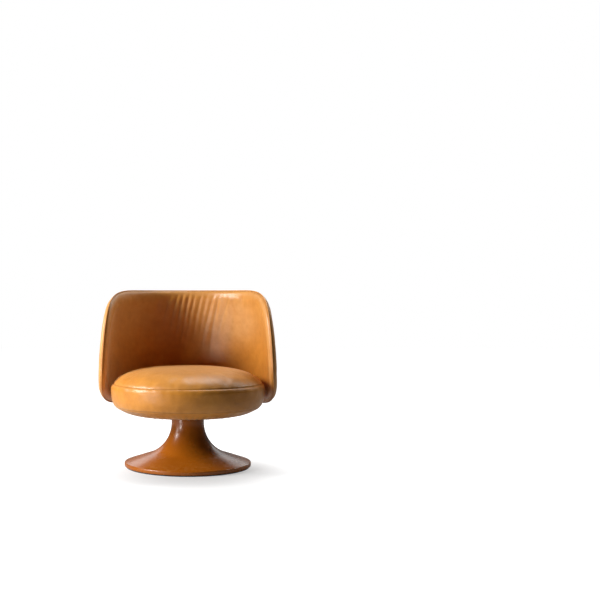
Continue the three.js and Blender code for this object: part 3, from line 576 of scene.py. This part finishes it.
def finish_seat(piece, line, seams):
    """Seam valleys with small gathers beside them, soft unevenness, pleats underneath, and
    the dimples where the back's sleeves go in."""
    p, n = points_of(piece), normals_of(piece)
    radius, turn, height = np.hypot(p[:, 0], p[:, 1]), np.arctan2(p[:, 0], p[:, 1]), p[:, 2]

    # How far each point lies from the two seams along the outside, and whether it is on it
    fine = along(line, np.linspace(0, 1, 900))
    far = np.concatenate([[0], np.cumsum(np.linalg.norm(np.diff(fine, axis=0), axis=1))])
    flat = np.stack([radius, height], 1)
    gap = np.stack([np.hypot(*(flat - q).T) for q in fine], 1)
    skin = smooth(1.5, 0.2, gap.min(1))
    run = far[gap.argmin(1)]
    top, bottom = (run - far[np.hypot(*(fine - q).T).argmin()] for q in seams)

    # Seams and their gathers, with noise that runs round without a break
    circle = np.stack([np.cos(turn), np.sin(turn)], 1) * 300
    wide = ripple(np.column_stack([circle, run * 0.35]), 0.045, 1)
    narrow = ripple(np.column_stack([circle, run * 0.2]), 0.11, 2)
    push = np.zeros(len(p))
    for away, amount in ((top, 1.0), (bottom, 0.9)):
        push -= amount * SEAM_DEPTH * bell(away, SEAM_WIDTH)
        push += amount * 0.5 * bell(np.abs(away) - 7, 5)
        push += amount * bell(away, 24) * (0.4 * wide + 0.24 * narrow * bell(away, 13))

    # Low unevenness of the panels, pleats underneath and dimples at the sleeves
    panel = smooth(0, 60, np.minimum(np.abs(top), np.abs(bottom)))
    push += 0.65 * ripple(p, 0.0065, 5) * panel
    wander = ripple(np.column_stack([circle, np.zeros(len(p))]), 0.02, 7)
    fold = np.sin(turn * PLEATS + 2.4 * wander)
    below = smooth(12, 48, bottom) * smooth(0, 8, radius - BOARD_RADIUS + 4)
    push += PLEAT_DEPTH * fold * below
    push -= 1.6 * sleeve_pull(np.degrees(turn), radius, height) * (radius > 280)
    set_points(piece, p + n * (push * skin)[:, None])

    # Rubbed where it is sat on, at the front edge and beside the seams; painted shade darkens the
    # seam valleys and the folds of the pleats underneath
    crest = bell(np.abs(top) - 6, 4) + 0.8 * bell(np.abs(bottom) - 6, 4)
    sat_on = 0.35 * smooth(240, 60, radius) * (height > SEAT_TOP_SEAM)
    front = 0.35 * bell(np.degrees(np.abs(turn)) - 180, 50) * bell(top + 22, 20)
    paint(piece, "wear_and_sheen", (0.3 * crest + front + sat_on) * skin)
    valley = np.maximum(bell(top, 1.5), bell(bottom, 1.5))
    paint(piece, "shade", (0.5 * valley + 0.35 * smooth(0.2, -1, fold) * below) * skin)


# Back: two pads on a shared unrolled outline, with a welt between them

COLUMNS, ROWS, GRID_ROUNDS = 128, 32, 300
INNER_FACE_RADIUS, SLEEVE_FACE_RADIUS = 305, 323


class Outline:
    """Half of the back's edge, unrolled: how far round from the rear, and how high."""

    def __init__(self):
        t = np.linspace(0, 1, 1200)[:, None]

        def way(degrees):
            return math.radians(degrees) * UNROLL_RADIUS

        def bezier(a, b, c, d):
            a, b, c, d = map(np.array, (a, b, c, d))
            return ((1 - t) ** 3 * a + 3 * t * (1 - t) ** 2 * b
                    + 3 * t * t * (1 - t) * c + t ** 3 * d)

        sweep_start, wing_tip, top_end = 62, 100, 50
        low_end, tip = (way(sweep_start), BACK_BOTTOM), (way(wing_tip), BACK_TIP)
        high_end = (way(top_end), BACK_TOP)
        low_handles = (way(78), BACK_BOTTOM), (way(wing_tip), SWEEP_HIGH)
        high_handles = (way(101), RAKE_LOW), (way(92), BACK_TOP)
        line = np.vstack([
            np.linspace((0, BACK_BOTTOM), low_end, 500)[:-1],
            bezier(low_end, *low_handles, tip)[:-1],
            bezier(tip, *high_handles, high_end)[:-1],
            np.linspace(high_end, (0, BACK_TOP), 400),
        ])
        step = np.diff(line, axis=0)
        far = np.concatenate([[0], np.cumsum(np.hypot(*step.T))])
        self.share = far / far[-1]
        self.length = 2 * far[-1]
        self.line = line
        tangent = np.gradient(line, far, axis=0)
        self.tangent = tangent / np.linalg.norm(tangent, axis=1, keepdims=True)
        turn = np.degrees(np.arctan2(self.tangent[:, 1], self.tangent[:, 0]))
        self.toe = float(self.share[np.argmax(turn > 45)])
        self.shoulder = float(self.share[np.argmax(turn > 135)])

    def at(self, share, side, inset):
        """The point at this share of the half outline, moved inward by the inset."""
        across, up = (np.interp(share, self.share, self.line[:, k]) for k in (0, 1))
        ahead, rise = (np.interp(share, self.share, self.tangent[:, k]) for k in (0, 1))
        return [side * (across - rise * inset), up + ahead * inset]

    def boundary(self, inset):
        """Points all round: the bottom from -X to +X, up, back along the top, and down."""
        half = COLUMNS // 2
        ways = [(i - half) / half for i in range(COLUMNS)]
        rise = self.shoulder - self.toe
        points = [self.at(self.toe * abs(w), 1 if w >= 0 else -1, inset) for w in ways]
        points += [self.at(self.toe + rise * j / ROWS, 1, inset) for j in range(ROWS)]
        points += [self.at(1 - (1 - self.shoulder) * abs(w), 1 if w <= 0 else -1, inset)
                   for w in ways]
        points += [self.at(self.toe + rise * (ROWS - j) / ROWS, -1, inset) for j in range(ROWS)]
        return np.array(points)


outline = Outline()


def seam_radius(height):
    """Radius of the surface between the two pads, which leans in towards the top."""
    rise = np.clip((np.asarray(height, float) - LEAN_START) / LEAN_RISE, 0, None)
    return BACK_GIRTH - OUTER_DEPTH - BACK_LEAN * rise ** LEAN_POWER


def back_place(flat, depth):
    """Points of the back: how far round, how high, and how far out of the seam surface."""
    flat = np.asarray(flat)
    turn, radius = flat[:, 0] / UNROLL_RADIUS, seam_radius(flat[:, 1]) + depth
    return np.column_stack([radius * np.sin(turn), radius * np.cos(turn) - BACK_FORWARD,
                            flat[:, 1]])


def filled(edge):
    """An even grid inside a closed boundary."""
    c, r = COLUMNS, ROWS
    low, right = edge[: c + 1], edge[c: c + r + 1]
    high = edge[c + r: 2 * c + r + 1][::-1]
    left = np.vstack([edge[2 * c + r:], edge[:1]])[::-1]
    u, v = np.linspace(0, 1, c + 1)[:, None, None], np.linspace(0, 1, r + 1)[None, :, None]
    grid = ((1 - v) * low[:, None] + v * high[:, None] + (1 - u) * left[None] + u * right[None]
            - (1 - u) * (1 - v) * low[0] - u * (1 - v) * low[-1]
            - (1 - u) * v * high[0] - u * v * high[-1])
    for _ in range(GRID_ROUNDS):
        grid[1:-1, 1:-1] = (grid[:-2, 1:-1] + grid[2:, 1:-1] + grid[1:-1, :-2]
                            + grid[1:-1, 2:]) / 4
    return grid


def back_pad(name, front, hidden):
    """A closed pad between two faces. Each face is a list of (inset, depth) steps from its
    edge inward. Returns the piece and a mask of the points of its front face."""
    flats, depths, faces = [], [], []
    count = 2 * (COLUMNS + ROWS)

    def loop(inset, depth):
        first = sum(map(len, flats))
        flats.append(outline.boundary(inset))
        depths.append(np.full(count, depth))
        return list(range(first, first + count))

    def band(a, b, flip):
        for quad in zip(a, a[1:] + a[:1], b[1:] + b[:1], b):
            faces.append(quad[::-1] if flip else quad)

    def face(steps, flip):
        loops = [loop(*step) for step in steps]
        for a, b in zip(loops, loops[1:]):
            band(a, b, flip)
        grid = filled(flats[-1])
        first = sum(map(len, flats))
        inner = grid[1:-1, 1:-1].reshape(-1, 2)
        flats.append(inner)
        depths.append(np.full(len(inner), steps[-1][1]))
        c, r, last = COLUMNS, ROWS, loops[-1]

        def corner(i, j):
            if j == 0:
                return last[i]
            if i == c:
                return last[c + j]
            if j == r:
                return last[2 * c + r - i]
            if i == 0:
                return last[(2 * (c + r) - j) % count]
            return first + (i - 1) * (r - 1) + j - 1

        for i in range(c):
            for j in range(r):
                quad = (corner(i, j), corner(i + 1, j), corner(i + 1, j + 1), corner(i, j + 1))
                faces.append(quad[::-1] if flip else quad)
        return loops[0]

    outward = front[-1][1] > 0
    edge = face(front, outward)
    shown = sum(map(len, flats))
    hidden_edge = face(hidden, not outward)
    band(edge, hidden_edge, not outward)
    points = back_place(np.vstack(flats), np.concatenate(depths))
    piece = mesh_object(name, points, faces, tan_leather, sharp=60)
    return piece, np.arange(len(points)) < shown


def nose(depth, roll, side, steps, start=1.1):
    """Steps of an edge rolled from the seam to the pad's full depth."""
    first = math.asin(start / depth)
    turns = np.linspace(first, math.pi / 2, steps + 1)
    return [(roll * (1 - math.cos(t)), side * depth * math.sin(t)) for t in turns]


def hidden_face(side, seam_half=0.2, step=20):
    """Steps of the face that lies against the seam and then against the plywood shell."""
    shell = SHELL_HALF + FIT
    return [(0, side * seam_half), (SHELL_INSET, side * seam_half),
            (SHELL_INSET, side * shell), (SHELL_INSET + step, side * shell)]


def on_outline(points, batch=4000):
    """The unrolled place of each point of a pad, its distance from the edge, and its share of
    the outline there, less than 0 on the left. Worked out in batches to spare memory."""
    turn = np.arctan2(points[:, 0], points[:, 1] + BACK_FORWARD)
    flat = np.column_stack([turn * UNROLL_RADIUS, points[:, 2]])
    folded = np.column_stack([np.abs(flat[:, 0]), flat[:, 1]])
    edge, shares = outline.line[::4], outline.share[::4]
    inset, where = np.empty(len(flat)), np.empty(len(flat))
    for first in range(0, len(flat), batch):
        some = folded[first: first + batch]
        gap = np.hypot(some[:, None, 0] - edge[None, :, 0], some[:, None, 1] - edge[None, :, 1])
        inset[first: first + batch] = gap.min(1)
        where[first: first + batch] = shares[gap.argmin(1)]
    return flat, inset, where * np.where(flat[:, 0] < 0, -1, 1)


def puff_back(piece, front, side, kept, cap):
    """Blows the padding up from a slightly thinner pad, with its edge and hidden face held.
    The rolled edge keeps little of the cloth's move, and the rest keeps this share more."""
    thinner, bumps, kept_at_edge = 2.5, 0.6, 0.15
    p = points_of(piece)
    _, inset, _ = on_outline(p)
    thin = thinner * smooth(6, 60, inset) * front
    uneven = bumps * ripple(p, 0.017, 4) * smooth(8, 50, inset) * front
    radial = p * [1, 1, 0] + [0, BACK_FORWARD, 0]
    radial /= np.linalg.norm(radial, axis=1, keepdims=True)
    set_points(piece, p - side * radial * (thin - uneven)[:, None])
    inflate(piece, ~front | (inset < 2), cap=cap, pressure=3.0, grow=0.01)
    moved = points_of(piece) - p
    set_points(piece, p + moved * (kept_at_edge + kept * smooth(8, 45, inset))[:, None])


# Creases of the inner back: degrees round from the rear and height at the top of each, the
# same two at its bottom, how deep it is and how wide
CREASES = [
    (-24.0, 672, -30.0, 590, 0.6, 9), (-15.8, 676, -22.4, 550, 1.1, 7),
    (-10.2, 678, -16.0, 525, 1.9, 6.5), (-5.6, 678, -11.4, 485, 2.3, 6.5),
    (-0.8, 678, -7.4, 440, 2.3, 7), (4.0, 676, -4.6, 428, 1.7, 7),
    (9.4, 674, 1.4, 450, 1.4, 7), (14.6, 672, 5.6, 445, 1.1, 8),
    (20.3, 672, 9.2, 450, 1.6, 8), (25.4, 670, 15.4, 440, 1.9, 9),
    (34.0, 664, 20.6, 455, 1.6, 11), (38.0, 600, 33.0, 440, 1.0, 24),
]


def crease_depth(flat):
    """Furrows with soft shoulders that fan out towards the top edge and die out below, and how
    much painted shade darkens the line in each."""
    total, line = np.zeros(len(flat)), np.zeros(len(flat))
    degrees, height = np.degrees(flat[:, 0] / UNROLL_RADIUS), flat[:, 1]
    wander = 3 * ripple(np.column_stack([flat * 0.5, np.zeros(len(flat))]), 0.03, 11)
    for top_way, top, low_way, low, deep, wide in CREASES:
        share = (top - height) / (top - low)
        centre = low_way + (top_way - low_way) * np.clip(1 - share, 0, None) ** 1.5
        away = (degrees - centre) * math.radians(1) * INNER_FACE_RADIUS + wander * (share + 0.2)
        width = wide * (0.75 + 0.9 * np.clip(share, 0, 1.3))
        fade = smooth(1.3, 0.3, share) * smooth(-0.2, 0.12, share)
        shoulder = 0.55 * bell(away - 1.9 * width, 1.3 * width)
        total += deep * fade * (bell(away, width) - shoulder)
        line = np.maximum(line, deep / 2.2 * fade * bell(away, 0.45 * width))
    return total, line


def finish_back(piece, side, creased):
    """Seam gathers, creases and unevenness of a pad's front face."""
    p, n = points_of(piece), normals_of(piece)
    flat, inset, where = on_outline(p)
    height, degrees = p[:, 2], np.degrees(flat[:, 0] / UNROLL_RADIUS)
    depth = np.linalg.norm(p * [1, 1, 0] + [0, BACK_FORWARD, 0], axis=1) - seam_radius(height)
    outside = depth * side > np.where(inset < SHELL_INSET, 0.6, SHELL_HALF + 2)

    # Gathers beside the welt, tighter round the toes and the shoulders
    run = where * outline.length / 2
    edge_points = np.column_stack([run, np.zeros(len(p)), inset * 0.4])
    tight = bell(np.abs(where) - outline.toe, 0.07) + bell(np.abs(where) - outline.shoulder, 0.08)
    gather = 0.3 * ripple(edge_points, 0.035, 21) + 0.2 * ripple(edge_points, 0.09, 22)
    push = gather * bell(inset - 7, 16) * (0.5 + 1.6 * tight)
    unevenness = 0.6 if creased else 0.35
    push += unevenness * ripple(p, 0.008, 9) * smooth(5, 60, inset)
    push -= 0.7 * bell(inset, 2.5)
    line = np.zeros(len(p))
    if creased:
        furrow, line = crease_depth(flat)
        push -= furrow * smooth(4, 30, inset)
        push -= 1.2 * sleeve_pull(degrees, SLEEVE_FACE_RADIUS, height)
    set_points(piece, p + n * (push * outside)[:, None])

    # Rubbed on the rolled edge and paler towards the top; on the inner pad, a painted sheen on
    # the inside of the right wing and a fifth of it on the left
    crest = 12 if creased else 7
    rolled = bell(inset - crest, 9) * (0.55 + 0.45 * smooth(690, 630, height))
    # Painted sheen: paler on the inside of the right wing at shoulder height, and a fifth as much
    # on the left
    painted_sheen = (bell(degrees - 40, 22) + 0.2 * bell(degrees + 48, 20)) * bell(height - 570, 85)
    wear_and_sheen = rolled + 0.25 * smooth(430, 640, height)
    wear_and_sheen += 1.25 * painted_sheen * creased * smooth(4, 30, inset)
    paint(piece, "wear_and_sheen", wear_and_sheen * outside)
    # Painted shade along the pad's edge at the welt and in the creases' lines
    paint(piece, "shade", (0.15 * bell(inset, 2.0) + 0.18 * line) * outside)


def back_pad_piece(name, depth, roll, side, steps, kept, cap):
    """One finished pad. Its side is -1 inside and 1 outside."""
    piece, front = back_pad(name, nose(depth, roll, side, steps), hidden_face(side))
    puff_back(piece, front, side, kept, cap)
    subdivide(piece)
    finish_back(piece, side, creased=side < 0)
    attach(piece, "seat")
    return piece


def back_pads():
    inner = back_pad_piece("back_inner_pad", INNER_DEPTH, INNER_ROLL, -1, 8, kept=0.85, cap=4)
    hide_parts("back_inner_cover", "back_inner_foam")
    outer = back_pad_piece("back_outer_pad", OUTER_DEPTH, OUTER_ROLL, 1, 6, kept=0.4, cap=3)
    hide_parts("back_outer_cover", "back_outer_foam")


def back_welt():
    """The cord in its leather, sewn in between the two pads all round. It swells a little
    between its stitches."""
    count, sides, stitch, swelling = 900, 10, 5.2, 0.05
    half = np.linspace(0, 1, count // 2, endpoint=False)
    shares = np.concatenate([half, 1 - half])
    signs = np.repeat([1, -1], count // 2)

    def loop(inset):
        flat = np.array([outline.at(s, k, inset) for s, k in zip(shares, signs)])
        return back_place(flat, 0.0)

    centre, outer = loop(-WELT_STAND), loop(-WELT_STAND - WELT_RADIUS)
    ahead = np.roll(centre, -1, 0) - np.roll(centre, 1, 0)
    ahead /= np.linalg.norm(ahead, axis=1, keepdims=True)
    out = outer - centre
    out -= ahead * np.sum(out * ahead, axis=1, keepdims=True)
    out /= np.linalg.norm(out, axis=1, keepdims=True)
    across = np.cross(ahead, out)
    run = np.arange(count) * outline.length / count
    points = []
    for k in range(sides):
        turn = 2 * math.pi * k / sides
        swell = 1 + swelling * np.sin(run * 2 * math.pi / stitch + 0.6 * math.sin(turn))
        radius = (WELT_RADIUS * swell)[:, None]
        points.append(centre + radius * (out * math.cos(turn) + across * math.sin(turn)))
    points = np.stack(points, 1).reshape(-1, 3)
    faces = ring_faces(count, sides)
    piece = mesh_object("back_welt_cord", points, faces, welt_leather, sharp=80)
    turn = np.tile(np.arange(sides) * 2 * math.pi / sides, count)
    # Rubbed paler on the outer crest; painted shade darkens the side that faces in between the
    # pads
    paint(piece, "wear_and_sheen", 0.8 * smooth(0.2, 1, np.cos(turn)))
    paint(piece, "shade", 0.2 * smooth(0.0, -0.7, np.cos(turn)))
    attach(piece, "seat")
    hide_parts("back_welt")


# Foot


def cone_height(radius, wall):
    """Height of the foot's slope at this radius, or of its inside for a wall above 0."""
    return (FOOT_EDGE_HEIGHT + (FOOT_RADIUS - radius) * math.tan(FOOT_CONE)
            - wall / math.cos(FOOT_CONE))


def pedestal():
    """The spun trumpet: one closed wall from the neck to the lip under the ballast plate."""
    neck_inner, rim_inner = NECK_RADIUS - FOOT_WALL, FOOT_RADIUS - FOOT_WALL
    lip_inner, lip_top = FOOT_RADIUS - FOOT_LIP_WIDTH, FOOT_LIP_BOTTOM + FOOT_WALL
    profile = rounded([
        (neck_inner, NECK_TOP, 1.2), (NECK_RADIUS, NECK_TOP, 1.2),
        (NECK_RADIUS, cone_height(NECK_RADIUS, 0), NECK_SWEEP),
        (FOOT_RADIUS, FOOT_EDGE_HEIGHT, FOOT_EDGE_ROUND),
        (FOOT_RADIUS, FOOT_LIP_BOTTOM, FOOT_LIP_ROUND), (lip_inner, FOOT_LIP_BOTTOM, 1.0),
        (lip_inner, lip_top, 1.0), (rim_inner, lip_top, 1.0),
        (rim_inner, cone_height(rim_inner, FOOT_WALL), 3.0),
        (neck_inner, cone_height(neck_inner, FOOT_WALL), NECK_SWEEP + FOOT_WALL),
    ])
    piece = turned("pedestal", profile, 192, lacquer, sharp=50)
    p = points_of(piece)
    radius = np.hypot(p[:, 0], p[:, 1])
    rim = bell(p[:, 2] - FOOT_EDGE_HEIGHT, 4) * (radius > FOOT_RADIUS - 7)
    neck_edge = bell(p[:, 2] - NECK_TOP + 1.9, 2)
    paint(piece, "wear_and_sheen", rim + neck_edge)
    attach(piece, "base")
    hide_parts("pedestal_shell")


def dust_lining():
    """Thin lining stapled under the board, sagging a little between its two edges, with small
    puckers at the outer one."""
    segments, count = 144, 14
    bottom, thickness = 209.7, 0.6
    sagging, uneven, pucker = 1.5, 0.5, 0.3
    turn = np.linspace(0, 2 * math.pi, segments, endpoint=False)
    layers = []
    for lift in (0.0, thickness):
        rows = []
        for share in np.linspace(0, 1, count):
            radius = LINING_INNER + (LINING_OUTER - LINING_INNER) * share
            sag = math.sin(math.pi * share) * (sagging + uneven * np.sin(3 * turn + 1))
            sag += pucker * np.abs(np.sin(24 * turn)) * share
            rows.append(np.column_stack([radius * np.cos(turn), radius * np.sin(turn),
                                         bottom + lift - sag]))
        layers.append(np.vstack(rows if lift == 0 else rows[::-1]))
    faces = ring_faces(2 * count, segments, flip=True)
    piece = mesh_object("dust_lining", np.vstack(layers), faces, lining, sharp=60)
    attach(piece, "seat")
    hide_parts("dust_cover")


def staples():
    """Staples that hold the lining to the board, each one bent wire and a little askew."""
    wire, half_width, leg, crown_height, edge, sides = 0.5, 5.0, 2.2, 208.3, 5, 8
    points, faces = [], []
    for radius, count in ((LINING_OUTER - edge, 44), (LINING_INNER + edge, 26)):
        for number in range(count):
            skew = 0.25 * math.sin(number * 12.9)
            turn = 2 * math.pi * (number + 0.3 * math.sin(number * 7.1)) / count
            middle = np.array([radius * math.cos(turn), radius * math.sin(turn), crown_height])
            side = np.array([-math.sin(turn + skew), math.cos(turn + skew), 0.0])
            up = np.array([0, 0, 1.0])
            out = np.cross(side, up)
            left, right = middle - side * half_width, middle + side * half_width
            line = (left + up * leg, left, right, right + up * leg)
            mitres = (side, side + up, side - up, side)
            first = len(points)
            for at, across in zip(line, mitres):
                for k in range(sides):
                    angle = 2 * math.pi * k / sides
                    points.append(at + (across * math.cos(angle) + out * math.sin(angle)) * wire)
            wall = ring_faces(len(line), sides, closed=False, flip=True)
            ends = [range(sides - 1, -1, -1), range(len(line) * sides - sides, len(line) * sides)]
            faces += [[first + corner for corner in face] for face in wall + ends]
    piece = mesh_object("lining_staples", points, faces, steel)
    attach(piece, "seat")


seat_cushion()
back_pads()
back_welt()
pedestal()
dust_lining()
staples()

# The CAD pieces that stay get their finishes
STAYING = {
    felt: ("floor_pad",),
    steel: ("ballast_plate", "foot_screw", "lower_race", "upper_race", "ball_ring", "spindle",
            "spindle_washer", "plate_bolt", "tee_nut", "back_bolt", "back_insert"),
    black: ("column_tube", "swivel_plate", "back_bracket", "back_sleeve", "retaining_ring"),
    nylon: ("neck_centring_ring", "lower_bush", "upper_bush"),
    plywood: ("seat_board", "back_shell"),
}
for finish, names in STAYING.items():
    for name, node in frame["nodes"].items():
        if any(name == stem or name.rstrip("0123456789") == stem + "_" for stem in names):
            for slot in node.material_slots:
                slot.material = finish


# Studio

CAMERA_TURN, CAMERA_AWAY, CAMERA_HEIGHT = math.radians(1.7), 4.0, 0.675
SENSOR_WIDTH, LENS, SHIFT = 36.0, 60.0, (0.187, -0.005)
SEAT_MIDDLE, INNER_BACK = (0, 0, 0.42), (0.13, 0.27, 0.53)
FLOOR_HALF, FLOOR_DROP, FLOOR_TONE = 9, 0.0004, rgb(182, 182, 182)
# Painted shadow: the floor's glow is dimmer within these distances of a point in front of the
# foot
PAINTED_SHADOW_CENTRE, PAINTED_SHADOW_FROM, PAINTED_SHADOW_TO = (0.03, -0.2, 0), 0.08, 0.6
FLOOR_GLOW, FLOOR_SHINE = 0.34, 0.05
ROOM_GLOW, BACK_GLOW = 0.03, 0.15
WHITE = (1, 1, 1, 1)


def lamp(name, place, aim, size, power):
    """A rectangular lamp of this width and height in metres, and this power in watts."""
    light = bpy.data.lights.new(name, "AREA")
    light.shape, light.size, light.size_y = "RECTANGLE", *size
    light.energy = power
    piece = bpy.data.objects.new(name, light)
    piece.location = place
    piece.rotation_euler = (Vector(aim) - Vector(place)).to_track_quat("-Z", "Y").to_euler()
    bpy.context.scene.collection.objects.link(piece)


def seen_white(tree, to_camera, to_mirrors):
    """Light for the camera's rays and another amount for glossy and transmission rays."""
    path = add_node(tree, "ShaderNodeLightPath").outputs
    mirrors = maths(tree, "MAXIMUM", path["Is Glossy Ray"], path["Is Transmission Ray"])
    eye = maths(tree, "MULTIPLY", path["Is Camera Ray"], to_camera)
    shine = maths(tree, "MULTIPLY", mirrors, to_mirrors)
    return maths(tree, "MAXIMUM", eye, shine)


def floor():
    """A plain pale floor that keeps the object's shadow and fades into the background. Its glow
    is dimmer round the foot's front, which paints a soft shadow there over the real one."""
    signs = ((-1, -1), (1, -1), (1, 1), (-1, 1))
    corners = [(FLOOR_HALF * x, FLOOR_HALF * y, 0) for x, y in signs]
    mesh = bpy.data.meshes.new("floor")
    mesh.from_pydata(corners, [], [(0, 1, 2, 3)])
    piece = bpy.data.objects.new("floor", mesh)
    piece.location.z = -FLOOR_DROP
    bpy.context.scene.collection.objects.link(piece)
    material = bpy.data.materials.new("floor_pale")
    material.use_nodes = True
    tree = material.node_tree
    sockets = tree.nodes["Principled BSDF"].inputs
    sockets["Base Color"].default_value = FLOOR_TONE
    sockets["Roughness"].default_value = 0.9
    sockets["Specular IOR Level"].default_value = 0.1
    sockets["Emission Color"].default_value = WHITE
    place = add_node(tree, "ShaderNodeTexCoord").outputs["Object"]
    far = add_node(tree, "ShaderNodeVectorMath", {0: place, 1: PAINTED_SHADOW_CENTRE}, operation="DISTANCE")
    glow = spread(tree, far.outputs["Value"], PAINTED_SHADOW_FROM, PAINTED_SHADOW_TO, FLOOR_GLOW, 1.0, "SMOOTHSTEP")
    tree.links.new(seen_white(tree, glow, FLOOR_SHINE), sockets["Emission Strength"])
    mesh.materials.append(material)


def world():
    """White to the camera all round. In gloss there is only a faint backdrop behind the chair,
    and the room in front of it is nearly dark."""
    scene = bpy.context.scene
    scene.world = bpy.data.worlds.new("studio")
    scene.world.use_nodes = True
    tree = scene.world.node_tree
    background = tree.nodes["Background"].inputs
    background["Color"].default_value = WHITE
    way = add_node(tree, "ShaderNodeTexCoord").outputs["Generated"]
    behind = add_node(tree, "ShaderNodeSeparateXYZ", {0: way}).outputs["Y"]
    glow = spread(tree, behind, 0.2, 0.9, ROOM_GLOW, BACK_GLOW, "SMOOTHSTEP")
    tree.links.new(seen_white(tree, 1.0, glow), background["Strength"])


def camera():
    """Nearly level with the top edge of the back, and turned very little."""
    data = bpy.data.cameras.new("camera")
    data.sensor_width, data.lens = SENSOR_WIDTH, LENS
    data.shift_x, data.shift_y = SHIFT
    piece = bpy.data.objects.new("camera", data)
    side, ahead = math.sin(CAMERA_TURN), math.cos(CAMERA_TURN)
    piece.location = (CAMERA_AWAY * side, -CAMERA_AWAY * ahead, CAMERA_HEIGHT)
    piece.rotation_euler = (math.pi / 2, 0, CAMERA_TURN)
    bpy.context.scene.collection.objects.link(piece)
    bpy.context.scene.camera = piece


floor()
world()
camera()
lamp("key", (-2.4, -0.72, 1.65), SEAT_MIDDLE, (0.8, 1.0), 91)
lamp("side", (-2.68, -0.77, 0.85), SEAT_MIDDLE, (0.5, 1.1), 16)
lamp("low", (-1.44, -1.24, 0.25), INNER_BACK, (0.4, 0.36), 8.5)
lamp("over", (0.5, 0.9, 2.9), SEAT_MIDDLE, (1.2, 1.0), 27)
lamp("top", (1.0, 1.9, 2.1), SEAT_MIDDLE, (1.0, 0.6), 6)
lamp("right", (2.0, 0.8, 2.25), SEAT_MIDDLE, (0.25, 2.0), 17)
lamp("rear", (0.0, 2.6, 1.3), SEAT_MIDDLE, (3.2, 0.9), 14)
bpy.context.scene.view_settings.view_transform = "Standard"
